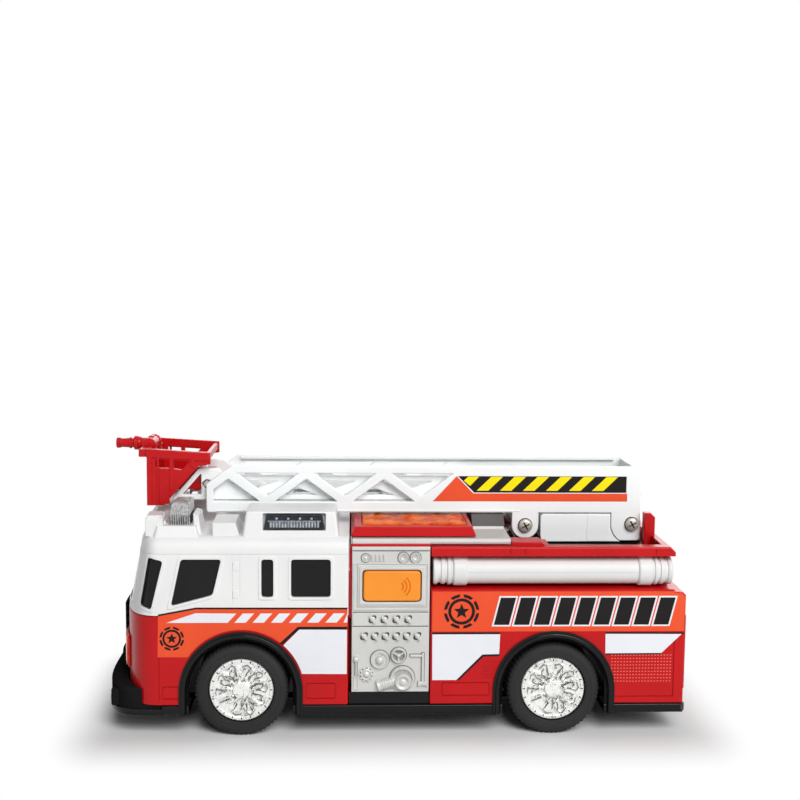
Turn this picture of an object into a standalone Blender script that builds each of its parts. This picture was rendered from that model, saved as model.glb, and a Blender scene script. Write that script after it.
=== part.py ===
# Toy fire engine with a lifting, extending ladder, a rescue basket and a sound button.
# Metres, +Z up. The engine faces -X, its left side is -Y, and its tyres stand on z = 0.

import math

import bmesh
import bpy
from mathutils import Matrix, Vector

# General clearances and walls
GAP = 0.0003  # between neighbouring pieces
WALL = 0.0016  # moulded wall
SINK = 0.0005  # how far joined shapes reach into each other
HOLE_SIDES = 12  # facets of screw holes, pins and rods
ROUND_SIDES = 16  # facets of larger round shapes

# Body and cab
SIDE_Y = 0.0280  # half the body width
NOSE_X = -0.0590  # where the flat cab side ends and the bowed front begins
NOSE_DEPTH = 0.0120
NOSE_POWER = 2.2
NOSE_STEPS = 20
CAB_REAR_X = -0.0117
BODY_BOTTOM_Z = 0.0093
BELT_Z = 0.0315  # top of the red lower cab
SHOULDER_Z = 0.0486
ROOF_Z = 0.0542
WINDSCREEN_RAKE = 0.0040
ROOF_EDGE = 0.0046  # how far the roof is drawn in at its top

# Rear body
REAR_FRONT_X = 0.0092
REAR_X = 0.0750
REAR_UPPER_X = 0.0720
REAR_STEP_Z = 0.0376
REAR_TOP_Z = 0.0495
WELL_FRONT_X = 0.0305
WELL_REAR_X = 0.0690
WELL_HALF_Y = 0.0186
WELL_FLOOR_Z = 0.0450
REAR_POST_X = (0.0670, 0.0699)
REAR_POST_Y = (0.0116, 0.0142)
REAR_POST_TOP_Z = 0.0556
REAR_POST_CHAMFER = 0.0012
DECK_BUMP_LENGTH = 0.0076
DECK_BUMP_HEIGHT = 0.0009
SPINE_Y = 0.0206  # outer face of the walls that join cab and rear body

# Wheels and axles
FRONT_AXLE_X = -0.0390
REAR_AXLE_X = 0.0412
TYRE_R = 0.0120
TYRE_WIDTH = 0.0090
WHEEL_FACE_Y = 0.0275
DISC_R = 0.0082
DISC_SEAT = 0.0028  # depth of the recess that the disc sits in
DISC_THICKNESS = 0.0018
AXLE_R = 0.0010
AXLE_BORE_R = AXLE_R + GAP
TYRE_STEPS = 24
TYRE_SHOULDER = 0.0008
TYRE_HUB_R = 0.0030
DISC_RIM = 0.0010
DISC_DISH = 0.0006
DISC_HUB_R = 0.0023
DISC_HUB_PROUD = 0.0005

# Chassis
CHASSIS_BOTTOM_Z = 0.0060
CHASSIS_TOP_Z = BODY_BOTTOM_Z - GAP
CHASSIS_HALF_Y = 0.0268
CHASSIS_REAR_X = 0.0756
ARCH_INNER_R = 0.0132
ARCH_WALL = 0.0012
ARCH_LIP_R = 0.01575
ARCH_LIP = 0.0008
ARCH_STEPS = 10
WELL_WALL_Y = 0.0154  # inner face of the wheel well
BUMPER_START_X = -0.0630
BUMPER_TIP_X = -0.0760
BUMPER_HALF_Y = 0.0276
BUMPER_BOTTOM_Z = 0.0055
BUMPER_TOP_Z = 0.0127
BUMPER_POWER = 3.0
GUARD_HALF_Y = 0.0150
GUARD_SETBACK = 0.0022
GUARD_TOP_Z = 0.0153

# Windows in side view, front to back, and the windscreen panes in front view
WINDOW_ROUND = 0.0008
WINDOW_TOP_Z = 0.0463
WINDOW_BOTTOM_Z = 0.0366
QUARTER_WINDOW = ((-0.0618, 0.0468), (-0.0585, 0.0459), (-0.0616, 0.0333), (-0.0640, 0.0341))
DOOR_WINDOW = ((-0.0540, 0.0463), (-0.0439, 0.0463), (-0.0461, 0.0371), (-0.0566, 0.0343))
NARROW_WINDOW_X = (-0.0338, -0.0308)
CREW_WINDOW_X = (-0.0263, -0.0163)
PANE_RECESS = 0.0004
WINDSCREEN_POST = 0.0014  # half the centre post
WINDSCREEN_SIDE_Y = 0.0205
WINDSCREEN_Z = (0.0338, 0.0466)

# Roof
POD_X = (-0.0380, -0.0150)
POD_Y = (0.0140, 0.0256)
POD_TOP_Z = 0.0585
POD_FLARE = 0.0010
SIDE_LENS_X = (-0.0333, -0.0179)
SIDE_LENS_Z = (0.0539, 0.0577)
SIDE_LENS_THICKNESS = 0.0014
BEACON_X = (-0.0575, -0.0522)
BEACON_Y = (0.0142, 0.0238)
BEACON_HEIGHT = 0.0059
BEACON_DRAFT = 0.0009
VISOR_REAR_X = -0.0585
VISOR_DEPTH = 0.0064
VISOR_INSET = 0.0060
VISOR_TOP_Z = 0.0560

# Front and rear trim
GRILLE_HALF_Y = 0.0105
GRILLE_Z = (0.0170, 0.0300)
HEADLAMP_Y = (0.0120, 0.0205)
HEADLAMP_Z = (0.0160, 0.0245)
TRIM_THICKNESS = 0.0009
TRIM_STEPS = 8
REAR_LAMP_Y = (0.0190, 0.0250)
REAR_LAMP_Z = (0.0110, 0.0310)
REAR_LAMP_THICKNESS = 0.0007

# Pump module
PUMP_X = (-0.0109, 0.0089)
PUMP_Z = (0.0117, 0.0496)
PUMP_FACE_Y = 0.0279
PUMP_INSIDE_Y = PUMP_FACE_Y - WALL
DECK_REAR_X = 0.0297
DECK_HALF_Y = 0.0260
DECK_TOP_Z = 0.0512
RAMP_FOOT_Y = 0.0145
RAMP_TOP_Y = 0.0112
RAMP_TOP_Z = 0.0546
BUTTON_X = (-0.0080, 0.0065)
BUTTON_Z = (0.0357, 0.0435)
BUTTON_ROUND = 0.0012
BUTTON_PROUD = 0.0006
BUTTON_FLANGE = 0.0012
BUTTON_FLANGE_THICKNESS = 0.0007
BUTTON_TRAVEL = 0.0008
FRAME_BORDER = 0.0015
FRAME_PROUD = 0.0004

# Deck light
TRAY_X = (-0.0112, 0.0208)
TRAY_HALF_Y = 0.0248
TRAY_HEIGHT = 0.0026
TRAY_SLANT = 0.0012
LENS_X = (-0.0082, 0.0186)
LENS_HALF_Y = 0.0222
LENS_TOP_Z = 0.0545
LENS_WALL = 0.0013

# Hose tubes
HOSE_X = (0.0098, 0.0714)
HOSE_Y = 0.0245
HOSE_Z = 0.0428
HOSE_R = 0.0035
HOSE_RING_R = 0.0033
HOSE_COLLAR_R = 0.0040
HOSE_FLANGE = 0.0012
HOSE_RING = 0.0039
HOSE_COLLAR = 0.0037

# Ladder
PIVOT_X = 0.0643
PIVOT_Z = 0.0520
LADDER_X = (-0.0495, 0.0666)
LADDER_Z = (0.0550, 0.0674)
LADDER_HALF_Y = 0.0110
LADDER_PLATE = 0.0020
TOP_RAIL = 0.0021
BOTTOM_RAIL = 0.0029
TRUSS_HALF_PITCH = 0.0103
TRUSS_START_X = -0.0540
TRUSS_END_X = 0.0182
TRUSS_BAR = 0.0024
END_POST = 0.0018
FRONT_CUT = (0.0067, 0.0048)  # corner cut off the ladder sides in front
RUNG = 0.0016
RUNG_PITCH = 0.0085
RUNG_COUNT = 12
LIP_WIDTH = 0.0011
LIP_HEIGHT = 0.0007
CHEEK_R = 0.0045
TIE_X = 0.0355
TIE_Z = 0.0516
LOBE_R = 0.0036
TIE_TUBE_R = 0.0024

# Inner ladder, basket and cannon
INNER_PLATE = 0.0017
INNER_REAR_X = 0.0200
INNER_Z = (0.0579, 0.0664)
INNER_RAIL = 0.0016
INNER_RUNG_COUNT = 7
BASKET_X = (-0.0650, -0.0483)
BASKET_HALF_Y = 0.0116
BASKET_WALL = 0.0014
BASKET_FLOOR_Z = 0.0569
BASKET_RAIL_Z = (0.0720, 0.0710)  # top of the rail in front and behind
BASKET_RAIL = 0.0020
BASKET_WINDOW = 0.0042
BASKET_HEEL_X = -0.0606  # where the sloping back meets the floor
BASKET_BACK_SLOPE = 1.146
TIP_GAP = 0.0006
TIP_BAR = 0.0024  # sloping bar at the inner ladder's tip
BASKET_PIN_X = -0.0495
BASKET_PIN_Z = 0.0622
PIN_R = 0.0009
TONGUE_HALF_Y = 0.0064
TONGUE_Z = (0.0603, 0.0645)
TONGUE_REAR_X = -0.0477
CANNON_X = -0.0654
CANNON_Z = 0.0720
CANNON_TIP_X = -0.0748
CANNON_R = 0.0013
CANNON_COLLAR = (0.0034, 0.0047)  # along the barrel from the pin
CANNON_COLLAR_R = 0.0019
CANNON_MUZZLE = 0.0010
CANNON_BORE_R = 0.0007
CANNON_BORE_DEPTH = 0.0028
CANNON_BOSS_R = 0.0017
CANNON_BOSS_HALF_Y = 0.0030
CANNON_PIN_R = 0.0007
EAR_THICKNESS = 0.0015
EAR_R = 0.0019
NOTCH_DEPTH = 0.0028

# Ladder turret
TURRET_X = (0.0397, 0.0586)
TURRET_HALF_Y = 0.0108
TURRET_TOP_Z = 0.0546
LUG_R = 0.0031
TURRET_PLATE_THICKNESS = 0.0015

# Screws
SCREW_HEAD_R = 0.0018
SCREW_HEAD = 0.0010
SCREW_SHANK_R = 0.0010
SCREW_LENGTH = 0.0060
CHASSIS_SCREW_X = (-0.0585, 0.0718)
CHASSIS_SCREW_Y = 0.0238
CHASSIS_SCREW_LENGTH = 0.0090
BOSS_HALF = 0.0023
BOSS_TOP_Z = 0.0240

# Electrics
CELL_R = 0.0058
CELL_THICKNESS = 0.0054
CELL_COUNT = 3
CELL_START_X = 0.0132
HOLDER_WALL = 0.0012
COVER_X = (0.0110, 0.0375)
COVER_HALF_Y = 0.0077
COVER_THICKNESS = 0.0016
COVER_SCREW_X = 0.0346
SPEAKER_X = 0.0570
SPEAKER_R = 0.0090
SPEAKER_HEIGHT = 0.0052
SPEAKER_RIM = 0.0017
MAGNET_R = 0.0054
BOARD_X = (-0.0085, 0.0070)
BOARD_Z = (0.0300, 0.0452)
BOARD_THICKNESS = 0.0010
SWITCH_HALF = 0.0019
SWITCH_THICKNESS = 0.0018
PLUNGER_R = 0.0009
LED_R = 0.0015

# Finishes: colour, roughness, metallic
RED = ((0.55, 0.018, 0.022), 0.35, 0.0)
WHITE = ((0.86, 0.86, 0.86), 0.35, 0.0)
BLACK = ((0.012, 0.012, 0.012), 0.30, 0.0)
TYRE_BLACK = ((0.030, 0.029, 0.029), 0.60, 0.0)
WINDOW_DARK = ((0.026, 0.025, 0.024), 0.25, 0.0)
SILVER = ((0.50, 0.50, 0.49), 0.45, 0.3)
ORANGE = ((0.95, 0.33, 0.03), 0.25, 0.0)
AMBER = ((0.90, 0.16, 0.015), 0.15, 0.0)
CLEAR = ((0.80, 0.82, 0.83), 0.10, 0.0)
SMOKE = ((0.032, 0.042, 0.054), 0.12, 0.0)
CHROME = ((0.80, 0.80, 0.80), 0.12, 1.0)
STEEL = ((0.55, 0.55, 0.55), 0.30, 1.0)
BOARD_GREEN = ((0.03, 0.18, 0.06), 0.50, 0.0)

for stale in list(bpy.data.objects):
    bpy.data.objects.remove(stale, do_unlink=True)

parts = bpy.data.collections.new("toy_fire_engine")
cutters = bpy.data.collections.new("cutters")
bpy.context.scene.collection.children.link(parts)
bpy.context.scene.collection.children.link(cutters)


# Modelling helpers

def tool_object(mesh):
    """Put a mesh among the cutters, out of the finished model."""
    tool = bpy.data.objects.new("cutter", mesh)
    tool.hide_render = True
    tool.display_type = "WIRE"
    cutters.objects.link(tool)
    return tool


def settle(bm):
    """Weld a closed bmesh, turn its faces outwards and return it as a mesh."""
    bmesh.ops.remove_doubles(bm, verts=bm.verts, dist=1e-6)
    bmesh.ops.recalc_face_normals(bm, faces=bm.faces)
    mesh = bpy.data.meshes.new("shape")
    bm.to_mesh(mesh)
    bm.free()
    return mesh


def evaluated_mesh(source, matrix):
    """Turn a curve or modified object into a plain mesh moved by the matrix."""
    graph = bpy.context.evaluated_depsgraph_get()
    mesh = bpy.data.meshes.new_from_object(source.evaluated_get(graph))
    bpy.data.objects.remove(source, do_unlink=True)
    mesh.transform(matrix)
    bm = bmesh.new()
    bm.from_mesh(mesh)
    return settle(bm)


def box(x, y, z):
    """Box between pairs of limits."""
    bm = bmesh.new()
    bmesh.ops.create_cube(bm, size=1.0)
    size = Vector((x[1] - x[0], y[1] - y[0], z[1] - z[0]))
    centre = Vector((x[1] + x[0], y[1] + y[0], z[1] + z[0])) / 2
    bmesh.ops.scale(bm, vec=size, verts=bm.verts)
    bmesh.ops.translate(bm, vec=centre, verts=bm.verts)
    return settle(bm)


def cylinder(axis, centre, radius, limits, sides=ROUND_SIDES):
    """Cylinder along an axis; centre holds the two other coordinates in X, Y, Z order."""
    bm = bmesh.new()
    bmesh.ops.create_cone(bm, cap_ends=True, segments=sides, radius1=radius, radius2=radius,
                          depth=limits[1] - limits[0])
    middle = (limits[0] + limits[1]) / 2
    if axis == "X":
        turn, place = Matrix.Rotation(math.pi / 2, 4, "Y"), (middle, *centre)
    elif axis == "Y":
        turn, place = Matrix.Rotation(math.pi / 2, 4, "X"), (centre[0], middle, centre[1])
    else:
        turn, place = Matrix.Identity(4), (*centre, middle)
    bmesh.ops.transform(bm, matrix=Matrix.Translation(place) @ turn, verts=bm.verts)
    return settle(bm)


PLANES = {  # where a flat outline's two coordinates and its thickness point
    "X": Matrix(((0, 0, 1), (1, 0, 0), (0, 1, 0))),
    "Y": Matrix(((1, 0, 0), (0, 0, -1), (0, 1, 0))),
    "Z": Matrix.Identity(3),
}


def plate(axis, limits, *loops):
    """Flat outline with holes, made thick along an axis between two limits."""
    curve = bpy.data.curves.new("outline", "CURVE")
    curve.dimensions = "2D"
    curve.fill_mode = "BOTH"
    curve.extrude = (limits[1] - limits[0]) / 2
    for loop in loops:
        spline = curve.splines.new("POLY")
        spline.points.add(len(loop) - 1)
        for point, (u, v) in zip(spline.points, loop):
            point.co = (u, v, 0, 1)
        spline.use_cyclic_u = True
    outline = bpy.data.objects.new("outline", curve)
    cutters.objects.link(outline)
    shift = Vector((0, 0, 0))
    shift["XYZ".index(axis)] = (limits[0] + limits[1]) / 2
    return evaluated_mesh(outline, Matrix.Translation(shift) @ PLANES[axis].to_4x4())


def turned(profile, steps, matrix):
    """Profile of (radius, height), closed or ending on the axis, turned about Z."""
    mesh = bpy.data.meshes.new("profile")
    count = len(profile)
    open_ends = profile[0][0] == profile[-1][0] == 0
    edges = [(i, (i + 1) % count) for i in range(count - open_ends)]
    mesh.from_pydata([(r, 0, h) for r, h in profile], edges, [])
    source = bpy.data.objects.new("profile", mesh)
    cutters.objects.link(source)
    screw = source.modifiers.new("Turn", "SCREW")
    screw.steps = steps
    screw.render_steps = steps
    screw.use_merge_vertices = True
    screw.merge_threshold = 1e-6
    return evaluated_mesh(source, matrix)


def loft(sections):
    """Closed skin through matching outlines, capped at both ends."""
    bm = bmesh.new()
    rings = [[bm.verts.new(point) for point in section] for section in sections]
    for low, high in zip(rings, rings[1:]):
        count = len(low)
        for i in range(count):
            j = (i + 1) % count
            bm.faces.new((low[i], low[j], high[j], high[i]))
    bm.faces.new(reversed(rings[0]))
    bm.faces.new(rings[-1])
    return settle(bm)


def finish_material(name, finish):
    """Principled material with a colour, a roughness and a metallic value."""
    colour, roughness, metallic = finish
    material = bpy.data.materials.new(name + "_finish")
    material.use_nodes = True
    shader = material.node_tree.nodes["Principled BSDF"]
    shader.inputs["Base Color"].default_value = (*colour, 1)
    shader.inputs["Roughness"].default_value = roughness
    shader.inputs["Metallic"].default_value = metallic
    return material


def part(name, mesh, finish, parent=None, location=None):
    """Named piece of the model, carried by an optional joint empty."""
    item = bpy.data.objects.new(name, mesh)
    if location is not None:
        item.location = location
    if parent is not None:
        item.parent = parent
        item.matrix_parent_inverse = Matrix.Translation(-joint_place[parent.name])
    parts.objects.link(item)
    item.data.shade_smooth()
    item.data.set_sharp_from_angle(angle=math.radians(35))
    item.data.materials.clear()
    item.data.materials.append(finish_material(name, finish))
    return item


joint_place = {}


def joint_empty(name, place, parent=None):
    """Empty on a joint's axis, which carries the pieces that the joint moves."""
    empty = bpy.data.objects.new(name, None)
    joint_place[name] = Vector(place)
    offset = joint_place[parent.name] if parent else Vector((0, 0, 0))
    empty.location = joint_place[name] - offset
    empty.parent = parent
    parts.objects.link(empty)
    return empty


def boolean(item, mesh, operation, solver="EXACT"):
    """Join a shape to a piece or cut it out of the piece."""
    change = item.modifiers.new(operation.title(), "BOOLEAN")
    change.operation = operation
    change.solver = solver
    change.object = tool_object(mesh)


def join(item, *meshes):
    for mesh in meshes:
        boolean(item, mesh, "UNION")


def cut(item, *meshes, solver="EXACT"):
    for mesh in meshes:
        boolean(item, mesh, "DIFFERENCE", solver)


def grown(limits, amount):
    return limits[0] - amount, limits[1] + amount


def on_side(limits, side):
    """Limits across the width, on the left (-1) or the right (+1)."""
    return (-limits[1], -limits[0]) if side < 0 else limits


def rectangle(u, v):
    return [(u[0], v[0]), (u[1], v[0]), (u[1], v[1]), (u[0], v[1])]


def arc(centre, radius, start, end, steps):
    """Points on a circle from one angle to another, in degrees."""
    angles = [math.radians(start + (end - start) * i / steps) for i in range(steps + 1)]
    return [(centre[0] + radius * math.cos(a), centre[1] + radius * math.sin(a)) for a in angles]


def rounded(points, radius, steps=3):
    """Outline with its corners rounded off."""
    result = []
    count = len(points)
    for i in range(count):
        corner = Vector(points[i])
        before = (Vector(points[i - 1]) - corner).normalized() * radius
        after = (Vector(points[(i + 1) % count]) - corner).normalized() * radius
        for k in range(steps + 1):
            t = k / steps
            result.append(tuple(corner + before * (1 - t) ** 2 + after * t ** 2))
    return result


def inset(points, amount):
    """Convex outline with its edges moved inwards."""
    count = len(points)
    middle = sum((Vector(p) for p in points), Vector((0, 0))) / count
    lines = []
    for i in range(count):
        a, b = Vector(points[i]), Vector(points[(i + 1) % count])
        along = (b - a).normalized()
        inward = Vector((-along.y, along.x))
        if inward.dot(middle - a) < 0:
            inward = -inward
        lines.append((a + inward * amount, along))
    result = []
    for i in range(count):
        (p, d), (q, e) = lines[i - 1], lines[i]
        cross = d.x * e.y - d.y * e.x
        t = ((q - p).x * e.y - (q - p).y * e.x) / cross
        result.append(tuple(p + d * t))
    return result


def bow(start_x, half_y, depth, power):
    """Bowed front in plan, from the left side round to the right side."""
    points = []
    for i in range(NOSE_STEPS + 1):
        angle = math.pi * (i / NOSE_STEPS - 0.5)
        across = math.copysign(abs(math.sin(angle)) ** (2 / power), angle)
        ahead = abs(math.cos(angle)) ** (2 / power)
        points.append((start_x - depth * ahead, half_y * across))
    return points


def cab_outline(shrink, depth, rear_x):
    """Cab plan with a bowed front, drawn in by an amount."""
    half_y = SIDE_Y - shrink
    front = bow(NOSE_X, half_y, depth - shrink, NOSE_POWER)
    return front + [(rear_x, half_y), (rear_x, -half_y)]


def mirrored(builder):
    """Make a piece for the left side and for the right side."""
    for side, name in ((-1, "left"), (1, "right")):
        builder(side, name)


# Joint empties

AXLE_Z = TYRE_R
front_roll = joint_empty("front_axle_joint", (FRONT_AXLE_X, 0, AXLE_Z))
rear_roll = joint_empty("rear_axle_joint", (REAR_AXLE_X, 0, AXLE_Z))
ladder_lift = joint_empty("ladder_lift_joint", (PIVOT_X, 0, PIVOT_Z))
ladder_slide = joint_empty("ladder_extend_joint", (INNER_REAR_X, 0, INNER_Z[0]), ladder_lift)
cannon_tilt = joint_empty("cannon_tilt_joint", (CANNON_X, 0, CANNON_Z), ladder_slide)
button_press = joint_empty("button_press_joint", (sum(BUTTON_X) / 2, -PUMP_FACE_Y, sum(BUTTON_Z) / 2))


# Chassis

def arch_outline(axle_x, radius, foot_z):
    """Wheel arch outline: a half circle on two straight legs."""
    crown = arc((axle_x, AXLE_Z), radius, 0, 180, ARCH_STEPS)
    return crown + [(axle_x - radius, foot_z), (axle_x + radius, foot_z)]


def arch_solid(axle_x, side):
    """Wheel arch with a wider lip at its outer end, before it is hollowed out."""
    lip_y = SIDE_Y + GAP
    liner = arch_outline(axle_x, ARCH_INNER_R + ARCH_WALL, CHASSIS_BOTTOM_Z + GAP)
    lip = arch_outline(axle_x, ARCH_LIP_R, CHASSIS_BOTTOM_Z + GAP / 2)
    steps = ((liner, WELL_WALL_Y), (liner, lip_y), (lip, lip_y), (lip, lip_y + ARCH_LIP))
    return loft([[(x, side * y, z) for x, z in outline] for outline, y in steps])


def build_chassis():
    pan_z = (CHASSIS_BOTTOM_Z, CHASSIS_TOP_Z)
    chassis = part("chassis", box((NOSE_X, CHASSIS_REAR_X), (-CHASSIS_HALF_Y, CHASSIS_HALF_Y), pan_z), BLACK)
    bumper = bow(BUMPER_START_X, BUMPER_HALF_Y, BUMPER_START_X - BUMPER_TIP_X, BUMPER_POWER)
    bumper += [(NOSE_X + SINK, BUMPER_HALF_Y), (NOSE_X + SINK, -BUMPER_HALF_Y)]
    guard = bow(BUMPER_START_X, GUARD_HALF_Y, BUMPER_START_X - BUMPER_TIP_X - GUARD_SETBACK, BUMPER_POWER)
    front = part("bumper_blank", plate("Z", (BUMPER_BOTTOM_Z, BUMPER_TOP_Z), bumper), BLACK)
    join(front, plate("Z", (BUMPER_TOP_Z - SINK, GUARD_TOP_Z), guard))
    cut(front, plate("Z", (CHASSIS_TOP_Z, BELT_Z), cab_outline(-GAP, NOSE_DEPTH, 0)))
    bumper_mesh = evaluated_mesh(front, Matrix.Identity(4))
    for axle_x in (FRONT_AXLE_X, REAR_AXLE_X):
        hollow = arch_outline(axle_x, ARCH_INNER_R, 0)
        for side in (-1, 1):
            join(chassis, arch_solid(axle_x, side))
            cut(chassis, plate("Y", on_side((WELL_WALL_Y + WALL, SIDE_Y + 2 * WALL), side), hollow))
        cut(chassis, cylinder("Y", (axle_x, AXLE_Z), AXLE_BORE_R, (-SIDE_Y, SIDE_Y), HOLE_SIDES))
    join(chassis, bumper_mesh)
    for screw_x in CHASSIS_SCREW_X:
        for side in (-1, 1):
            place = (screw_x, side * CHASSIS_SCREW_Y)
            head_z = CHASSIS_BOTTOM_Z + SCREW_HEAD + GAP
            cut(chassis, cylinder("Z", place, SCREW_HEAD_R + GAP, (0, head_z), HOLE_SIDES))
            cut(chassis, cylinder("Z", place, SCREW_SHANK_R + GAP, (0, BODY_BOTTOM_Z), HOLE_SIDES))
    ledge_z = CHASSIS_BOTTOM_Z + COVER_THICKNESS + GAP
    boss_z = (ledge_z, CHASSIS_TOP_Z + SCREW_LENGTH)
    join(chassis, cylinder("Z", (COVER_SCREW_X, 0), BOSS_HALF, boss_z, HOLE_SIDES))
    cut(chassis, box(grown(COVER_X, GAP), grown((-COVER_HALF_Y, COVER_HALF_Y), GAP), (0, ledge_z)))
    cut(chassis, box(cell_space_x(), (-CELL_R - 2 * GAP, CELL_R + 2 * GAP), (0, BELT_Z)))
    cut(chassis, cylinder("Z", (COVER_SCREW_X, 0), SCREW_SHANK_R + GAP, (0, boss_z[1] - WALL), HOLE_SIDES))


def cell_space_x():
    """Length of the space that the row of cells takes."""
    return CELL_START_X - 2 * GAP, CELL_START_X + CELL_COUNT * (CELL_THICKNESS + GAP) + GAP


# Red body shell

def rear_post_outline():
    """Post beside the ladder's rear end in side view, clear of the plate in the well."""
    front, back = REAR_POST_X
    foot = WELL_FLOOR_Z + TURRET_PLATE_THICKNESS + 2 * GAP
    top, corner = REAR_POST_TOP_Z, REAR_POST_CHAMFER
    return [(front, foot), (back, foot), (back, top - corner), (back - corner, top), (front, top)]


def build_body_shell():
    lower_z = (BODY_BOTTOM_Z, BELT_Z)
    shell = part("body_shell", plate("Z", lower_z, cab_outline(0, NOSE_DEPTH, CAB_REAR_X)), RED)
    cut(shell, plate("Z", (0, BELT_Z + WALL), cab_outline(WALL, NOSE_DEPTH, CAB_REAR_X - WALL)))
    side_view = [
        (REAR_FRONT_X, BODY_BOTTOM_Z), (REAR_X, BODY_BOTTOM_Z), (REAR_X, REAR_STEP_Z),
        (REAR_UPPER_X, REAR_STEP_Z + GAP), (REAR_UPPER_X, REAR_TOP_Z), (REAR_FRONT_X, REAR_TOP_Z),
    ]
    channel_r = HOSE_COLLAR_R + GAP
    hollow_y = HOSE_Y - channel_r - WALL
    rear = part("rear_blank", plate("Y", (-SIDE_Y, SIDE_Y), side_view), RED)
    bump_x = (DECK_REAR_X + GAP, DECK_REAR_X + GAP + DECK_BUMP_LENGTH)
    for side in (-1, 1):
        bump_y = on_side((HOSE_Y - channel_r, DECK_HALF_Y), side)
        join(rear, box(bump_x, bump_y, (REAR_TOP_Z - SINK, REAR_TOP_Z + DECK_BUMP_HEIGHT)))
        channel_y = on_side((HOSE_Y - channel_r, SIDE_Y + WALL), side)
        cut(rear, box((0, REAR_X + WALL), channel_y, (HOSE_Z - channel_r, HOSE_Z + channel_r)))
    low_top = HOSE_Z - channel_r - WALL
    inside_x = (REAR_FRONT_X + WALL, REAR_X - WALL)
    cut(rear, box(inside_x, (WALL - SIDE_Y, SIDE_Y - WALL), (0, low_top)))
    upper_x = (REAR_FRONT_X + WALL, WELL_FRONT_X - WALL)
    cut(rear, box(upper_x, (-hollow_y, hollow_y), (low_top - SINK, REAR_TOP_Z - WALL)))
    below_x = (REAR_FRONT_X + WALL, REAR_UPPER_X - WALL)
    cut(rear, box(below_x, (-hollow_y, hollow_y), (low_top - SINK, WELL_FLOOR_Z - WALL)))
    well_z = (WELL_FLOOR_Z, LADDER_Z[1])
    cut(rear, box((WELL_FRONT_X, WELL_REAR_X), (-WELL_HALF_Y, WELL_HALF_Y), well_z))
    for side in (-1, 1):
        join(rear, plate("Y", on_side(REAR_POST_Y, side), rear_post_outline()))
    join(shell, evaluated_mesh(rear, Matrix.Identity(4)))
    spine_x = (CAB_REAR_X - SINK, REAR_FRONT_X + SINK)
    for side in (-1, 1):
        join(shell, box(spine_x, on_side((SPINE_Y - WALL, SPINE_Y), side), (BODY_BOTTOM_Z, BELT_Z)))
        for screw_x in CHASSIS_SCREW_X:
            boss_y = on_side((CHASSIS_SCREW_Y - BOSS_HALF, SIDE_Y - SINK), side)
            join(shell, box(grown((screw_x, screw_x), BOSS_HALF), boss_y, (BODY_BOTTOM_Z, BOSS_TOP_Z)))
            hole_z = (0, CHASSIS_BOTTOM_Z + SCREW_HEAD + CHASSIS_SCREW_LENGTH + GAP)
            place = (screw_x, side * CHASSIS_SCREW_Y)
            cut(shell, cylinder("Z", place, SCREW_SHANK_R + GAP, hole_z, HOLE_SIDES))
    arch_r = ARCH_INNER_R + ARCH_WALL + GAP
    for axle_x in (FRONT_AXLE_X, REAR_AXLE_X):
        cut(shell, plate("Y", (-SIDE_Y - WALL, SIDE_Y + WALL), arch_outline(axle_x, arch_r, 0)))


# White cab shell and its windows

def cab_sections(shrink, bottom_z, roof_z):
    """Cab outlines from the belt line up over the shoulder to the roof."""
    bottom_depth = NOSE_DEPTH - WINDSCREEN_RAKE * (bottom_z - BELT_Z) / (SHOULDER_Z - BELT_Z)
    top_depth = NOSE_DEPTH - WINDSCREEN_RAKE
    rounding = [math.radians(angle) for angle in (0, 30, 60, 90)]
    steps = [(bottom_z, 0, bottom_depth)]
    for angle in rounding:
        height = SHOULDER_Z + (roof_z - SHOULDER_Z) * math.sin(angle)
        steps.append((height, ROOF_EDGE * (1 - math.cos(angle)), top_depth))
    sections = []
    for z, drawn_in, depth in steps:
        outline = cab_outline(shrink + drawn_in, depth, CAB_REAR_X - shrink)
        sections.append([(x, y, z) for x, y in outline])
    return sections


def window_band(shrink, bottom_z):
    """Cab solid up to the shoulder, drawn in by an amount."""
    return loft(cab_sections(shrink, bottom_z, ROOF_Z)[:2])


def side_windows(amount):
    """Window outlines in side view, drawn in by an amount."""
    z = (WINDOW_BOTTOM_Z, WINDOW_TOP_Z)
    square = [rectangle(NARROW_WINDOW_X, z), rectangle(CREW_WINDOW_X, z)]
    return [rounded(inset(shape, amount), WINDOW_ROUND) for shape in (DOOR_WINDOW, *square)]


def window_shapes(amount):
    """All the window openings as solids, drawn in by an amount."""
    shapes = [plate("Y", (-SIDE_Y - WALL, SIDE_Y + WALL), shape) for shape in side_windows(amount)]
    corner = rounded(inset(QUARTER_WINDOW, amount), WINDOW_ROUND)
    pane_y = (WINDSCREEN_POST, WINDSCREEN_SIDE_Y)
    for side in (-1, 1):
        shapes.append(plate("Y", on_side((WINDSCREEN_SIDE_Y + WALL, SIDE_Y + WALL), side), corner))
        pane = rounded(inset(rectangle(on_side(pane_y, side), WINDSCREEN_Z), amount), WINDOW_ROUND)
        shapes.append(plate("X", (NOSE_X - NOSE_DEPTH - WALL, NOSE_X), pane))
    return shapes


def pod_shape(side):
    """Roof light pod, narrower at its top."""
    base_z = ROOF_Z - 2 * WALL
    foot = rectangle(grown(POD_X, POD_FLARE), grown(POD_Y, POD_FLARE / 2))
    low = [(x, side * y, base_z) for x, y in foot]
    high = [(x, side * y, POD_TOP_Z) for x, y in rectangle(POD_X, POD_Y)]
    return loft([low, high])


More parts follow.
